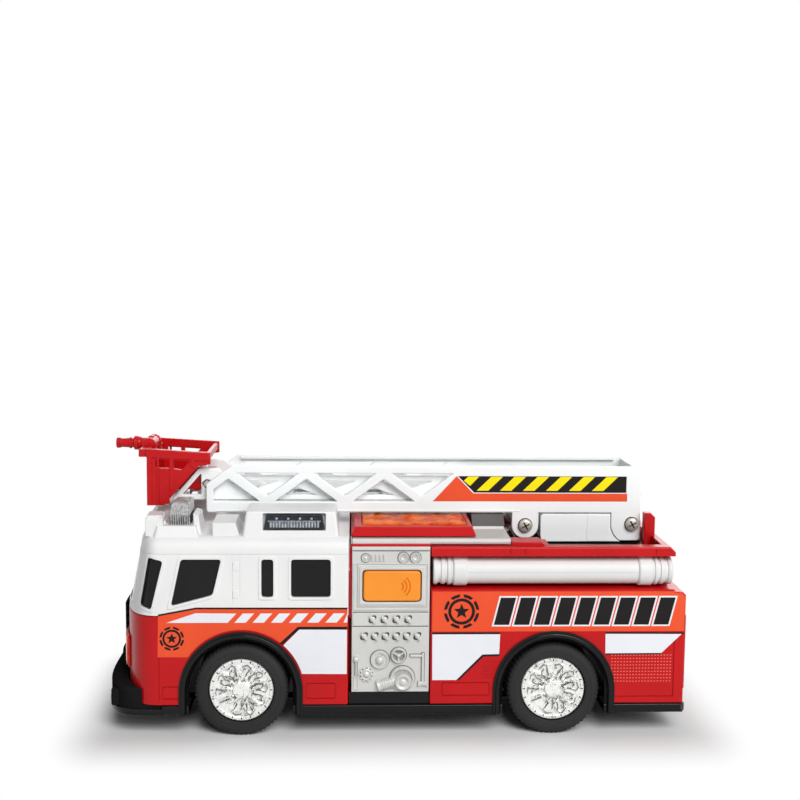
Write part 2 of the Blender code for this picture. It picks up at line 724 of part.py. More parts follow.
def build_cab_shell():
    shell = part("cab_shell", loft(cab_sections(0, BELT_Z + GAP, ROOF_Z)), WHITE)
    for side in (-1, 1):
        join(shell, pod_shape(side))
    visor = bow(NOSE_X, SIDE_Y - VISOR_INSET, VISOR_DEPTH, NOSE_POWER)
    visor += [(VISOR_REAR_X, SIDE_Y - VISOR_INSET), (VISOR_REAR_X, VISOR_INSET - SIDE_Y)]
    join(shell, plate("Z", (ROOF_Z - 2 * WALL, VISOR_TOP_Z), visor))
    cut(shell, loft(cab_sections(WALL, BELT_Z - WALL, ROOF_Z - WALL)))
    recess = rectangle(grown(SIDE_LENS_X, GAP), grown(SIDE_LENS_Z, GAP))
    openings = window_shapes(0)
    for side in (-1, 1):
        lens_y = on_side((POD_Y[1] - SIDE_LENS_THICKNESS, SIDE_Y + WALL), side)
        openings.append(plate("Y", lens_y, recess))
    cut(shell, *openings, solver="MANIFOLD")  # the exact solver leaves slits at these corners


def build_glazing():
    """Dark insert: a liner inside the cab with a raised pane in each window."""
    liner = WALL + GAP
    hollow = liner + WALL
    bottom = BELT_Z + WALL
    glazing = part("cab_glazing", window_band(liner, bottom), WINDOW_DARK)
    for shape in window_shapes(GAP):
        pane = part("pane_blank", shape, WINDOW_DARK)
        boolean(pane, window_band(PANE_RECESS, bottom), "INTERSECT")
        join(glazing, evaluated_mesh(pane, Matrix.Identity(4)))
    cut(glazing, loft(cab_sections(hollow, bottom - WALL, ROOF_Z)))


# Roof and body trim

def build_beacon(side, name):
    low_z = ROOF_Z + GAP
    low = rectangle(BEACON_X, BEACON_Y)
    high = rectangle(grown(BEACON_X, -BEACON_DRAFT), grown(BEACON_Y, -BEACON_DRAFT))
    base = [(x, side * y, low_z) for x, y in low]
    top = [(x, side * y, low_z + BEACON_HEIGHT) for x, y in high]
    part("beacon_lens_" + name, loft([base, top]), CLEAR)


def build_side_lens(side, name):
    lens_y = on_side((POD_Y[1] - SIDE_LENS_THICKNESS + GAP, POD_Y[1] + GAP), side)
    slant = 2 * GAP
    bottom, top = SIDE_LENS_Z
    outline = [(SIDE_LENS_X[0], bottom), (SIDE_LENS_X[1], bottom),
               (SIDE_LENS_X[1] - slant, top), (SIDE_LENS_X[0] + slant, top)]
    part("side_light_lens_" + name, plate("Y", lens_y, outline), SMOKE)


def front_skin(y_limits, z_limits):
    """Thin plate that follows the bowed front of the cab between two places across it."""
    inner = bow(NOSE_X, SIDE_Y + GAP, NOSE_DEPTH + GAP, NOSE_POWER)
    outer = bow(NOSE_X, SIDE_Y + GAP, NOSE_DEPTH + GAP + TRIM_THICKNESS, NOSE_POWER)
    pitch = (y_limits[1] - y_limits[0]) / TRIM_STEPS
    across = [y_limits[0] + pitch * i for i in range(TRIM_STEPS + 1)]
    back = [(ahead_at(inner, y), y) for y in across]
    front = [(ahead_at(outer, y), y) for y in across]
    return plate("Z", z_limits, back + front[::-1])


def ahead_at(curve, y):
    """X on a bowed front at a place across it."""
    for (x0, y0), (x1, y1) in zip(curve, curve[1:]):
        if y0 <= y <= y1:
            return x0 + (x1 - x0) * (y - y0) / (y1 - y0)
    raise ValueError("place lies outside the front")


def build_trim(side, name):
    part("headlamp_" + name, front_skin(on_side(HEADLAMP_Y, side), HEADLAMP_Z), AMBER)
    lamp_x = (REAR_X + GAP, REAR_X + GAP + REAR_LAMP_THICKNESS)
    part("rear_lamp_" + name, box(lamp_x, on_side(REAR_LAMP_Y, side), REAR_LAMP_Z), RED)
    place = Matrix.Translation((0, side * HOSE_Y, HOSE_Z)) @ Matrix.Rotation(math.pi / 2, 4, "Y")
    start, end = HOSE_X
    flange, ring, collar = HOSE_FLANGE, HOSE_FLANGE + HOSE_RING, HOSE_FLANGE + HOSE_RING + HOSE_COLLAR
    flange_r = HOSE_COLLAR_R - GAP
    half = [(flange_r, 0), (flange_r, flange), (HOSE_RING_R, flange), (HOSE_RING_R, ring),
            (HOSE_COLLAR_R, ring), (HOSE_COLLAR_R, collar), (HOSE_R, collar)]
    profile = [(0, start)] + [(r, start + d) for r, d in half]
    profile += [(r, end - d) for r, d in reversed(half)] + [(0, end)]
    part("hose_" + name, turned(profile, ROUND_SIDES, place), WHITE)


# Pump module, button and deck light

def build_pump_module():
    button_hole = rounded(rectangle(grown(BUTTON_X, GAP), grown(BUTTON_Z, GAP)), BUTTON_ROUND)
    frame = rectangle(grown(BUTTON_X, FRAME_BORDER), grown(BUTTON_Z, FRAME_BORDER))
    face = rectangle(PUMP_X, PUMP_Z)
    deck_z = (REAR_TOP_Z + GAP, DECK_TOP_Z)
    module = part("pump_module", box((PUMP_X[0], DECK_REAR_X), (-DECK_HALF_Y, DECK_HALF_Y), deck_z), SILVER)
    ramp_x = (TRAY_X[1] + GAP, DECK_REAR_X - GAP)
    foot = [(x, y, DECK_TOP_Z - SINK) for x, y in rectangle(ramp_x, (-RAMP_FOOT_Y, RAMP_FOOT_Y))]
    crest = [(x, y, RAMP_TOP_Z) for x, y in rectangle(ramp_x, (-RAMP_TOP_Y, RAMP_TOP_Y))]
    join(module, loft([foot, crest]))
    shelf_z = (PUMP_Z[1] - WALL, DECK_TOP_Z - SINK)
    for side in (-1, 1):
        join(module, box(PUMP_X, on_side((SPINE_Y, PUMP_INSIDE_Y + SINK), side), shelf_z))
        join(module, plate("Y", on_side((PUMP_INSIDE_Y, PUMP_FACE_Y), side), face))
        join(module, plate("Y", on_side((PUMP_FACE_Y - SINK, PUMP_FACE_Y + FRAME_PROUD), side), frame))
    cut(module, plate("Y", (-SIDE_Y - WALL, -SPINE_Y), button_hole))


def build_button():
    face_y = -PUMP_FACE_Y - FRAME_PROUD - BUTTON_PROUD
    flange_front = -PUMP_INSIDE_Y + GAP
    flange_back = flange_front + BUTTON_FLANGE_THICKNESS
    cap = rounded(rectangle(BUTTON_X, BUTTON_Z), BUTTON_ROUND)
    flange = rectangle(grown(BUTTON_X, BUTTON_FLANGE), grown(BUTTON_Z, BUTTON_FLANGE))
    button = part("sound_button", plate("Y", (face_y, flange_front + SINK), cap), ORANGE, button_press)
    join(button, plate("Y", (flange_front, flange_back), flange))
    middle = (sum(BUTTON_X) / 2, sum(BUTTON_Z) / 2)
    plunger_y = (flange_back + GAP, flange_back + GAP + SWITCH_THICKNESS / 2)
    part("switch_plunger", cylinder("Y", middle, PLUNGER_R, plunger_y, HOLE_SIDES), BLACK, button_press)
    switch_front = flange_back + BUTTON_TRAVEL + GAP / 2
    switch_y = (switch_front, switch_front + SWITCH_THICKNESS)
    across, up = grown((middle[0], middle[0]), SWITCH_HALF), grown((middle[1], middle[1]), SWITCH_HALF)
    switch = part("switch_body", box(across, switch_y, up), BLACK)
    well_end = min(plunger_y[1] + BUTTON_TRAVEL + GAP / 2, switch_y[1] - GAP)
    cut(switch, cylinder("Y", middle, PLUNGER_R + GAP, (-SIDE_Y, well_end), HOLE_SIDES))
    board_y = (switch_y[1] + GAP, switch_y[1] + GAP + BOARD_THICKNESS)
    part("circuit_board", box(BOARD_X, board_y, BOARD_Z), BOARD_GREEN)


def build_deck_light():
    bottom = DECK_TOP_Z + GAP
    top = bottom + TRAY_HEIGHT
    outline = [(TRAY_X[0], bottom), (TRAY_X[1], bottom),
               (TRAY_X[1] - TRAY_SLANT, top), (TRAY_X[0] + TRAY_SLANT, top)]
    tray = part("light_tray", plate("Y", (-TRAY_HALF_Y, TRAY_HALF_Y), outline), RED)
    lens_y = (-LENS_HALF_Y, LENS_HALF_Y)
    cut(tray, box(grown(LENS_X, GAP), grown(lens_y, GAP), (BELT_Z, LADDER_Z[0])))
    lens = part("deck_light_lens", box(LENS_X, lens_y, (bottom, LENS_TOP_Z)), AMBER)
    hollow_z = (BELT_Z, LENS_TOP_Z - LENS_WALL)
    cut(lens, box(grown(LENS_X, -LENS_WALL), grown(lens_y, -LENS_WALL), hollow_z))
    led_z = (bottom, LENS_TOP_Z - LENS_WALL - GAP)
    part("deck_led", cylinder("Z", (sum(LENS_X) / 2, 0), LED_R, led_z, HOLE_SIDES), CLEAR)


# Ladder turret

def build_turret():
    plate_z = (WELL_FLOOR_Z + GAP, WELL_FLOOR_Z + GAP + TURRET_PLATE_THICKNESS)
    well_x = (WELL_FRONT_X + GAP, WELL_REAR_X - GAP)
    part("turret_plate", box(well_x, grown((-WELL_HALF_Y, WELL_HALF_Y), -GAP), plate_z), BLACK)
    foot = plate_z[1] + GAP
    house = rectangle(TURRET_X, (foot, TURRET_TOP_Z))
    turret = part("ladder_turret", plate("Y", (-TURRET_HALF_Y, TURRET_HALF_Y), house), WHITE)
    lug_y = LADDER_HALF_Y - LADDER_PLATE - GAP
    lug_front = TURRET_X[1] - SINK
    lug = arc((PIVOT_X, PIVOT_Z), LUG_R, 0, 180, HOLE_SIDES)
    lug += [(lug_front, PIVOT_Z), (lug_front, foot), (PIVOT_X + LUG_R, foot)]
    join(turret, plate("Y", (-lug_y, lug_y), lug))
    cut(turret, cylinder("Y", (PIVOT_X, PIVOT_Z), SCREW_SHANK_R + GAP, (-SIDE_Y, SIDE_Y), HOLE_SIDES))


# Ladder sections

def truss_holes(start_x, end_x, first_up, z_limits, limit_x):
    """Triangular openings of a truss, alternately standing and hanging, within end limits."""
    holes = []
    low, high = z_limits
    node_x, upright = start_x, first_up
    while node_x + 2 * TRUSS_HALF_PITCH <= end_x + 1e-9:
        base, tip = (low, high) if upright else (high, low)
        shape = [(node_x, base), (node_x + 2 * TRUSS_HALF_PITCH, base), (node_x + TRUSS_HALF_PITCH, tip)]
        shape = clip_left(inset_slants(shape), limit_x)
        holes.append(shape)
        node_x += TRUSS_HALF_PITCH
        upright = not upright
    return holes


def inset_slants(shape):
    """Triangle with its two slanting edges moved in by half a bar."""
    (left, base), (right, _), (top_x, tip) = shape
    slope = abs(tip - base) / TRUSS_HALF_PITCH
    shift = TRUSS_BAR / 2 / math.sin(math.atan(slope))
    drop = shift * slope * math.copysign(1, tip - base)
    return [(left + shift, base), (right - shift, base), (top_x, tip - drop)]


def clip_left(shape, limit_x):
    """Part of an outline that lies behind a limit along X."""
    result = []
    for i, (x1, z1) in enumerate(shape):
        x0, z0 = shape[i - 1]
        if (x0 < limit_x) != (x1 < limit_x):
            t = (limit_x - x0) / (x1 - x0)
            result.append((limit_x, z0 + (z1 - z0) * t))
        if x1 >= limit_x:
            result.append((x1, z1))
    return result


def outer_side_outline():
    """Ladder side with the pivot cheek and the lobe hanging under it."""
    front_x, rear_x = LADDER_X
    low, high = LADDER_Z
    lobe = arc((TIE_X, TIE_Z), LOBE_R, 180, 360, ROUND_SIDES)
    lobe = [(TIE_X - LOBE_R, low)] + lobe + [(TIE_X + LOBE_R, low)]
    cheek = arc((PIVOT_X, PIVOT_Z), CHEEK_R, 180, 360, ROUND_SIDES)
    rise = (rear_x, PIVOT_Z + math.sqrt(CHEEK_R ** 2 - (rear_x - PIVOT_X) ** 2))
    side = [(front_x, low)] + lobe + [(PIVOT_X - CHEEK_R, low)] + cheek
    side += arc((PIVOT_X, PIVOT_Z), CHEEK_R, 20, 40, 2) + [rise, (rear_x, high)]
    return side + [(front_x + FRONT_CUT[0], high), (front_x, high - FRONT_CUT[1])]


def build_ladder_side(side, name):
    """Ladder side with its truss openings, an inward lip along its top and two screw holes."""
    inside_y = LADDER_HALF_Y - LADDER_PLATE
    truss_z = (LADDER_Z[0] + BOTTOM_RAIL, LADDER_Z[1] - TOP_RAIL)
    holes = truss_holes(TRUSS_START_X, TRUSS_END_X, True, truss_z, LADDER_X[0] + END_POST)
    flank = plate("Y", on_side((inside_y, LADDER_HALF_Y), side), outer_side_outline(), *holes)
    ladder = part("outer_ladder_" + name, flank, WHITE, ladder_lift)
    lip_y = on_side((inside_y - LIP_WIDTH, inside_y + SINK), side)
    lip_z = (LADDER_Z[1] - LIP_HEIGHT - GAP, LADDER_Z[1] - GAP)
    join(ladder, box((LADDER_X[0] + FRONT_CUT[0] + GAP, LADDER_X[1] - 2 * RUNG), lip_y, lip_z))
    reach = (-LADDER_HALF_Y - WALL, LADDER_HALF_Y + WALL)
    for place in ((PIVOT_X, PIVOT_Z), (TIE_X, TIE_Z)):
        cut(ladder, cylinder("Y", place, SCREW_SHANK_R + GAP, reach, HOLE_SIDES))


def build_ladder_bed():
    """Rungs on two runners with the tube that the tie screws hold, and the end wall above them."""
    half_y = LADDER_HALF_Y - LADDER_PLATE - GAP
    low_z = LADDER_Z[0] + SINK
    bed_x = (LADDER_X[0] + END_POST, LADDER_X[1] - GAP)
    runner_y = (half_y - LIP_WIDTH, half_y)
    runner_z = (low_z, low_z + RUNG)
    bed = part("outer_ladder_bed", box(bed_x, on_side(runner_y, -1), runner_z), WHITE, ladder_lift)
    join(bed, box(bed_x, runner_y, runner_z))
    across = (SINK - half_y, half_y - SINK)
    for i in range(RUNG_COUNT):
        rung_x = bed_x[0] + GAP + RUNG_PITCH * i
        join(bed, box((rung_x, rung_x + RUNG), across, (low_z + GAP, low_z + RUNG - GAP)))
    end_x = (LADDER_X[1] - RUNG, LADDER_X[1] - 2 * GAP)
    end_wall = box(end_x, (-half_y, half_y), (runner_z[1] + GAP, LADDER_Z[1] - GAP))
    part("outer_ladder_end", end_wall, WHITE, ladder_lift)
    join(bed, cylinder("Y", (TIE_X, TIE_Z), TIE_TUBE_R, (-half_y, half_y), HOLE_SIDES))
    web_x = grown((TIE_X, TIE_X), LIP_WIDTH)
    join(bed, box(web_x, across, (TIE_Z, low_z + RUNG - 2 * GAP)))
    cut(bed, cylinder("Y", (TIE_X, TIE_Z), SCREW_SHANK_R + GAP, (-SIDE_Y, SIDE_Y), HOLE_SIDES))


def back_x(z):
    """X of the basket's sloping back at a height."""
    return BASKET_HEEL_X + (z - BASKET_FLOOR_Z) / BASKET_BACK_SLOPE


def inner_half_y():
    return LADDER_HALF_Y - LADDER_PLATE - GAP


def build_inner_ladder():
    outer_y = inner_half_y()
    inside_y = outer_y - INNER_PLATE
    low, high = INNER_Z
    tip_low, tip_high = back_x(low) + TIP_GAP, back_x(high) + TIP_GAP
    outline = [(tip_low, low), (INNER_REAR_X, low), (INNER_REAR_X, high), (tip_high, high)]
    truss_z = (low + INNER_RAIL, high - INNER_RAIL)
    start_x = BASKET_PIN_X + 2 * PIN_R
    holes = truss_holes(start_x, INNER_REAR_X, False, truss_z, start_x)
    bar = TIP_GAP + TIP_BAR
    tip_x = BASKET_PIN_X - 2 * PIN_R
    tip_z = BASKET_FLOOR_Z + (tip_x - bar - BASKET_HEEL_X) * BASKET_BACK_SLOPE
    holes.append([(back_x(truss_z[0]) + bar, truss_z[0]), (tip_x, truss_z[0]), (tip_x, tip_z)])
    left = plate("Y", (-outer_y, -inside_y), outline, *holes)
    ladder = part("inner_ladder", left, WHITE, ladder_slide)
    join(ladder, plate("Y", (inside_y, outer_y), outline, *holes))
    across = (-inside_y - SINK, inside_y + SINK)
    for i in range(INNER_RUNG_COUNT):
        rung_x = BASKET_PIN_X - RUNG_PITCH / 2 + RUNG_PITCH * i
        join(ladder, box((rung_x, rung_x + RUNG), across, (low + GAP, low + GAP + RUNG)))
    place = (BASKET_PIN_X, BASKET_PIN_Z)
    cut(ladder, cylinder("Y", place, PIN_R + GAP, (-SIDE_Y, SIDE_Y), HOLE_SIDES))
    pin = cylinder("Y", place, PIN_R, (-outer_y + GAP, outer_y - GAP), HOLE_SIDES)
    part("basket_pin", pin, STEEL, ladder_slide)


def basket_side():
    """Basket side in side view, with a square and a triangular window under its rail."""
    front, rear = BASKET_X
    rail_front, rail_rear = BASKET_RAIL_Z
    rail_low = rail_rear - BASKET_RAIL
    outline = [(front, BASKET_FLOOR_Z), (BASKET_HEEL_X, BASKET_FLOOR_Z), (back_x(rail_low), rail_low),
               (rear, rail_low), (rear, rail_rear), (front, rail_front)]
    top = rail_low - SINK
    border = 1.5 * BASKET_WALL
    square_x = (front + border, front + border + BASKET_WINDOW)
    corner_x = square_x[1] + BASKET_WALL
    corner_z = BASKET_FLOOR_Z + (corner_x + border - BASKET_HEEL_X) * BASKET_BACK_SLOPE
    triangle = [(corner_x, corner_z), (back_x(top) - border, top), (corner_x, top)]
    return outline, rectangle(square_x, (top - BASKET_WINDOW, top)), triangle


def build_basket():
    inside_y = BASKET_HALF_Y - BASKET_WALL
    front = BASKET_X[0]
    full_y = (-BASKET_HALF_Y, BASKET_HALF_Y)
    rail_low = BASKET_RAIL_Z[1] - BASKET_RAIL
    basket = part("basket", plate("Y", (-BASKET_HALF_Y, -inside_y), *basket_side()), RED, ladder_slide)
    join(basket, plate("Y", (inside_y, BASKET_HALF_Y), *basket_side()))
    across = (-inside_y - SINK, inside_y + SINK)
    rim_z = BASKET_RAIL_Z[1]
    join(basket, box((front + GAP, front + BASKET_WALL), across, (BASKET_FLOOR_Z + GAP, rim_z)))
    floor_z = (BASKET_FLOOR_Z + GAP, BASKET_FLOOR_Z + BASKET_WALL)
    join(basket, box((front + GAP, BASKET_HEEL_X - GAP), across, floor_z))
    slant = BASKET_WALL * math.hypot(1, BASKET_BACK_SLOPE) / BASKET_BACK_SLOPE
    low, high = BASKET_FLOOR_Z + GAP, rail_low + GAP
    back = [(back_x(low) - GAP, low), (back_x(high) - GAP, high),
            (back_x(high) - slant, high), (back_x(low) - slant, low)]
    join(basket, plate("Y", across, back))
    rail_x = (BASKET_X[1] - BASKET_WALL, BASKET_X[1] - GAP)
    join(basket, box(rail_x, across, (rail_low + GAP, rim_z - GAP)))
    tongue = [(back_x(TONGUE_Z[0]) - SINK - GAP, TONGUE_Z[0]), (TONGUE_REAR_X, TONGUE_Z[0]),
              (TONGUE_REAR_X, BASKET_PIN_Z + PIN_R), (TONGUE_REAR_X - PIN_R, TONGUE_Z[1]),
              (back_x(TONGUE_Z[1]) - SINK - GAP, TONGUE_Z[1])]
    join(basket, plate("Y", (-TONGUE_HALF_Y, TONGUE_HALF_Y), tongue))
    ear_y = (CANNON_BOSS_HALF_Y + GAP, CANNON_BOSS_HALF_Y + GAP + EAR_THICKNESS)
    notch_y = ear_y[1] + GAP
    notch_z = (rim_z - NOTCH_DEPTH, CANNON_Z + EAR_R)
    cut(basket, box(grown((front, front), 2 * BASKET_WALL), (-notch_y, notch_y), notch_z))
    ear_foot = rim_z - NOTCH_DEPTH - BASKET_WALL
    ear = arc((CANNON_X, CANNON_Z), EAR_R, 0, 180, HOLE_SIDES)
    ear_low = CANNON_Z - EAR_R
    ear += [(CANNON_X - EAR_R, ear_low), (front + SINK, ear_foot)]
    ear += [(front + BASKET_WALL - GAP, ear_foot), (CANNON_X + EAR_R, ear_low)]
    for side in (-1, 1):
        join(basket, plate("Y", on_side(ear_y, side), ear))
    cut(basket, cylinder("Y", (CANNON_X, CANNON_Z), CANNON_PIN_R + GAP, full_y, HOLE_SIDES))
    cut(basket, cylinder("Y", (BASKET_PIN_X, BASKET_PIN_Z), PIN_R + GAP, full_y, HOLE_SIDES))
    pin_y = (-ear_y[1] + GAP, ear_y[1] - GAP)
    pin = cylinder("Y", (CANNON_X, CANNON_Z), CANNON_PIN_R, pin_y, HOLE_SIDES)
    part("cannon_pin", pin, STEEL, ladder_slide)


def build_cannon():
    boss_y = (-CANNON_BOSS_HALF_Y, CANNON_BOSS_HALF_Y)
    boss = cylinder("Y", (CANNON_X, CANNON_Z), CANNON_BOSS_R, boss_y)
    cannon = part("water_cannon", boss, RED, cannon_tilt)
    reach = CANNON_X - CANNON_TIP_X
    start, end = CANNON_COLLAR
    muzzle, bore = reach - CANNON_MUZZLE, reach - CANNON_BORE_DEPTH
    profile = [(0, 0), (CANNON_R, 0), (CANNON_R, start), (CANNON_COLLAR_R, start), (CANNON_COLLAR_R, end),
               (CANNON_R, end), (CANNON_R - GAP, muzzle - GAP), (CANNON_R, muzzle), (CANNON_R, reach),
               (CANNON_BORE_R, reach), (CANNON_BORE_R, bore), (0, bore)]
    place = Matrix.Translation((CANNON_X, 0, CANNON_Z)) @ Matrix.Rotation(-math.pi / 2, 4, "Y")
    join(cannon, turned(profile, HOLE_SIDES, place))
    cut(cannon, cylinder("Y", (CANNON_X, CANNON_Z), CANNON_PIN_R + GAP, (-SIDE_Y, SIDE_Y), HOLE_SIDES))


# Wheels

def wheel_profiles():
    """Profiles of the tyre and the disc, outward along the axle from the tyre's inner face."""
    width, radius, seat = TYRE_WIDTH, TYRE_R, DISC_SEAT
    web = width - seat
    recess_r = DISC_R + GAP
    shoulder = TYRE_SHOULDER
    tyre = [(AXLE_BORE_R, 0), (TYRE_HUB_R, 0), (TYRE_HUB_R, web / 2), (recess_r, web / 2), (recess_r, 0),
            (radius - shoulder, 0), (radius, shoulder), (radius, width - shoulder),
            (radius - shoulder, width), (recess_r, width), (recess_r, web), (AXLE_BORE_R, web)]
    base = web + GAP
    face = base + DISC_THICKNESS
    rim, hub, proud = DISC_R - DISC_RIM, DISC_HUB_R, face + DISC_HUB_PROUD
    disc = [(0, base), (DISC_R, base), (DISC_R, face), (rim, face), (rim - DISC_DISH, face - DISC_DISH),
            (hub, face - GAP), (hub, proud), (0, proud)]
    return tyre, disc


def build_wheels(axle_name, axle_x, empty):
    axle_end = WHEEL_FACE_Y - DISC_SEAT - GAP
    rod = cylinder("Y", (axle_x, AXLE_Z), AXLE_R, (-axle_end, axle_end), HOLE_SIDES)
    part(axle_name + "_axle", rod, STEEL, empty)
    for side, name in ((-1, "left"), (1, "right")):
        outward = Matrix.Rotation(-side * math.pi / 2, 4, "X")
        seat = Vector((axle_x, side * (WHEEL_FACE_Y - TYRE_WIDTH), AXLE_Z))
        tyre, disc = (turned(profile, TYRE_STEPS, outward) for profile in wheel_profiles())
        part(axle_name + "_tyre_" + name, tyre, TYRE_BLACK, empty, seat)
        part(axle_name + "_wheel_disc_" + name, disc, CHROME, empty, seat)


# Screws

def screw_mesh(length, head_r, matrix):
    """Pan-head screw whose head lies outside z = 0 and whose shank runs down."""
    profile = [(0, SCREW_HEAD), (head_r - GAP, SCREW_HEAD), (head_r, SCREW_HEAD - GAP), (head_r, 0),
               (SCREW_SHANK_R, 0), (SCREW_SHANK_R, -length), (0, -length)]
    return turned(profile, HOLE_SIDES, matrix)


def build_ladder_screws(side, name):
    outward = Matrix.Rotation(-side * math.pi / 2, 4, "X")
    face_y = side * (LADDER_HALF_Y + GAP)
    for label, place in (("pivot", (PIVOT_X, PIVOT_Z)), ("tie", (TIE_X, TIE_Z))):
        mesh = screw_mesh(SCREW_LENGTH, SCREW_HEAD_R, outward)
        part("ladder_" + label + "_screw_" + name, mesh, STEEL, ladder_lift, (place[0], face_y, place[1]))


def build_chassis_screws():
    for screw_x, end in zip(CHASSIS_SCREW_X, ("front", "rear")):
        for side, name in ((-1, "left"), (1, "right")):
            mesh = screw_mesh(CHASSIS_SCREW_LENGTH, SCREW_HEAD_R, Matrix.Rotation(math.pi, 4, "X"))
            place = (screw_x, side * CHASSIS_SCREW_Y, CHASSIS_BOTTOM_Z + SCREW_HEAD)
            part("chassis_screw_" + end + "_" + name, mesh, STEEL, None, place)


# Battery compartment and speaker

def build_electrics():
    space_x = cell_space_x()
    half_y = CELL_R + 2 * GAP
    cell_bottom = CHASSIS_BOTTOM_Z + COVER_THICKNESS + GAP
    cell_top = cell_bottom + 2 * CELL_R
    holder_z = (BODY_BOTTOM_Z, cell_top + GAP + HOLDER_WALL)
    holder = box(grown(space_x, HOLDER_WALL), grown((-half_y, half_y), HOLDER_WALL), holder_z)
    holder = part("battery_holder", holder, BLACK)
    cut(holder, box(space_x, (-half_y, half_y), (0, cell_top + GAP)))
    for i in range(CELL_COUNT):
        start = CELL_START_X + i * (CELL_THICKNESS + GAP)
        place = (0, cell_bottom + CELL_R)
        cell = cylinder("X", place, CELL_R, (start, start + CELL_THICKNESS))
        part("battery_cell_%d" % (i + 1), cell, STEEL)
    cover_z = (CHASSIS_BOTTOM_Z, CHASSIS_BOTTOM_Z + COVER_THICKNESS)
    cover = part("battery_cover", box(COVER_X, (-COVER_HALF_Y, COVER_HALF_Y), cover_z), BLACK)
    place = (COVER_SCREW_X, 0)
    head_z = (0, CHASSIS_BOTTOM_Z + SCREW_HEAD + GAP / 2)
    cut(cover, cylinder("Z", place, SCREW_HEAD_R + GAP, head_z, HOLE_SIDES))
    cut(cover, cylinder("Z", place, SCREW_SHANK_R + GAP, (0, BELT_Z), HOLE_SIDES))
    mesh = screw_mesh(SCREW_LENGTH, SCREW_HEAD_R, Matrix.Rotation(math.pi, 4, "X"))
    part("battery_cover_screw", mesh, STEEL, None, (COVER_SCREW_X, 0, CHASSIS_BOTTOM_Z + SCREW_HEAD))
    cone = [(0, 0), (SPEAKER_R, 0), (SPEAKER_R, SPEAKER_RIM), (MAGNET_R, SPEAKER_HEIGHT / 2),
            (MAGNET_R, SPEAKER_HEIGHT), (0, SPEAKER_HEIGHT)]
    part("speaker", turned(cone, ROUND_SIDES, Matrix.Translation((SPEAKER_X, 0, BODY_BOTTOM_Z))), BLACK)


build_chassis()
build_body_shell()
build_cab_shell()
build_glazing()
mirrored(build_beacon)
mirrored(build_side_lens)
mirrored(build_trim)
part("grille", front_skin((-GRILLE_HALF_Y, GRILLE_HALF_Y), GRILLE_Z), BLACK)
build_pump_module()
build_button()
build_deck_light()
build_turret()
mirrored(build_ladder_side)
build_ladder_bed()
mirrored(build_ladder_screws)
build_inner_ladder()
build_basket()
build_cannon()
build_wheels("front", FRONT_AXLE_X, front_roll)
build_wheels("rear", REAR_AXLE_X, rear_roll)
build_chassis_screws()
build_electrics()
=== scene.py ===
import math
import random

import bmesh
import bpy
from mathutils import Matrix, Vector, noise


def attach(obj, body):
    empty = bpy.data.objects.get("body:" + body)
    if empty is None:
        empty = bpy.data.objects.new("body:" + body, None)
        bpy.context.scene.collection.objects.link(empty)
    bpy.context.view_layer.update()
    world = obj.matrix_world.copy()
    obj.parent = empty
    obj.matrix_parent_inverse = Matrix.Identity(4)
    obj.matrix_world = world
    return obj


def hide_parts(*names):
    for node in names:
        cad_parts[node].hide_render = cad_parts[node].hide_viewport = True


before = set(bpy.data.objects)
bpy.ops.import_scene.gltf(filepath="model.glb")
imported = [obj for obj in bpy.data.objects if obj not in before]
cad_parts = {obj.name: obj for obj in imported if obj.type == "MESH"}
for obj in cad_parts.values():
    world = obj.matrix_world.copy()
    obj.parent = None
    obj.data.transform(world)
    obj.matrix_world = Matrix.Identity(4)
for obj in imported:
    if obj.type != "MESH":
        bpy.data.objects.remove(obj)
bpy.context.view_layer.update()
scene = bpy.context.scene
millimetre = 0.001  # helper meshes are in millimetres until assemble()
weld = 0.004  # points closer than this are one
print("frame loaded:", len(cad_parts), "nodes")


# working helpers

def workObject(data, name="work"):
    obj = bpy.data.objects.new(name, data)
    scene.collection.objects.link(obj)
    return obj


def bake(obj):  # evaluated result as a plain mesh; the helper object goes
    bpy.context.view_layer.update()
    mesh = bpy.data.meshes.new_from_object(obj.evaluated_get(bpy.context.evaluated_depsgraph_get()))
    bpy.data.objects.remove(obj)
    return mesh


def toMesh(bm, name="work"):
    mesh = bpy.data.meshes.new(name)
    bm.to_mesh(mesh)
    bm.free()
    return mesh


def settle(bm):
    bmesh.ops.remove_doubles(bm, verts=bm.verts, dist=weld)
    bmesh.ops.recalc_face_normals(bm, faces=bm.faces)
    return toMesh(bm)


def fromMesh(mesh):
    bm = bmesh.new()
    bm.from_mesh(mesh)
    return bm


def gather(*meshes):
    bm = bmesh.new()
    for mesh in meshes:
        bm.from_mesh(mesh)
    return toMesh(bm)


def placed(mesh, matrix):
    copy = mesh.copy()
    copy.transform(matrix)
    return copy


def mirrored(mesh):  # copy on the other side of the truck
    copy = placed(mesh, Matrix.Scale(-1, 4, (0, 1, 0)))
    return settle(fromMesh(copy))


def bothSides(*meshes):
    left = gather(*meshes)
    return gather(left, mirrored(left))


planes = {  # where an outline's two directions and its thickness point
    "X": Matrix(((0, 0, 1, 0), (1, 0, 0, 0), (0, 1, 0, 0), (0, 0, 0, 1))),
    "Y": Matrix(((1, 0, 0, 0), (0, 0, -1, 0), (0, 1, 0, 0), (0, 0, 0, 1))),
    "Z": Matrix.Identity(4),
}


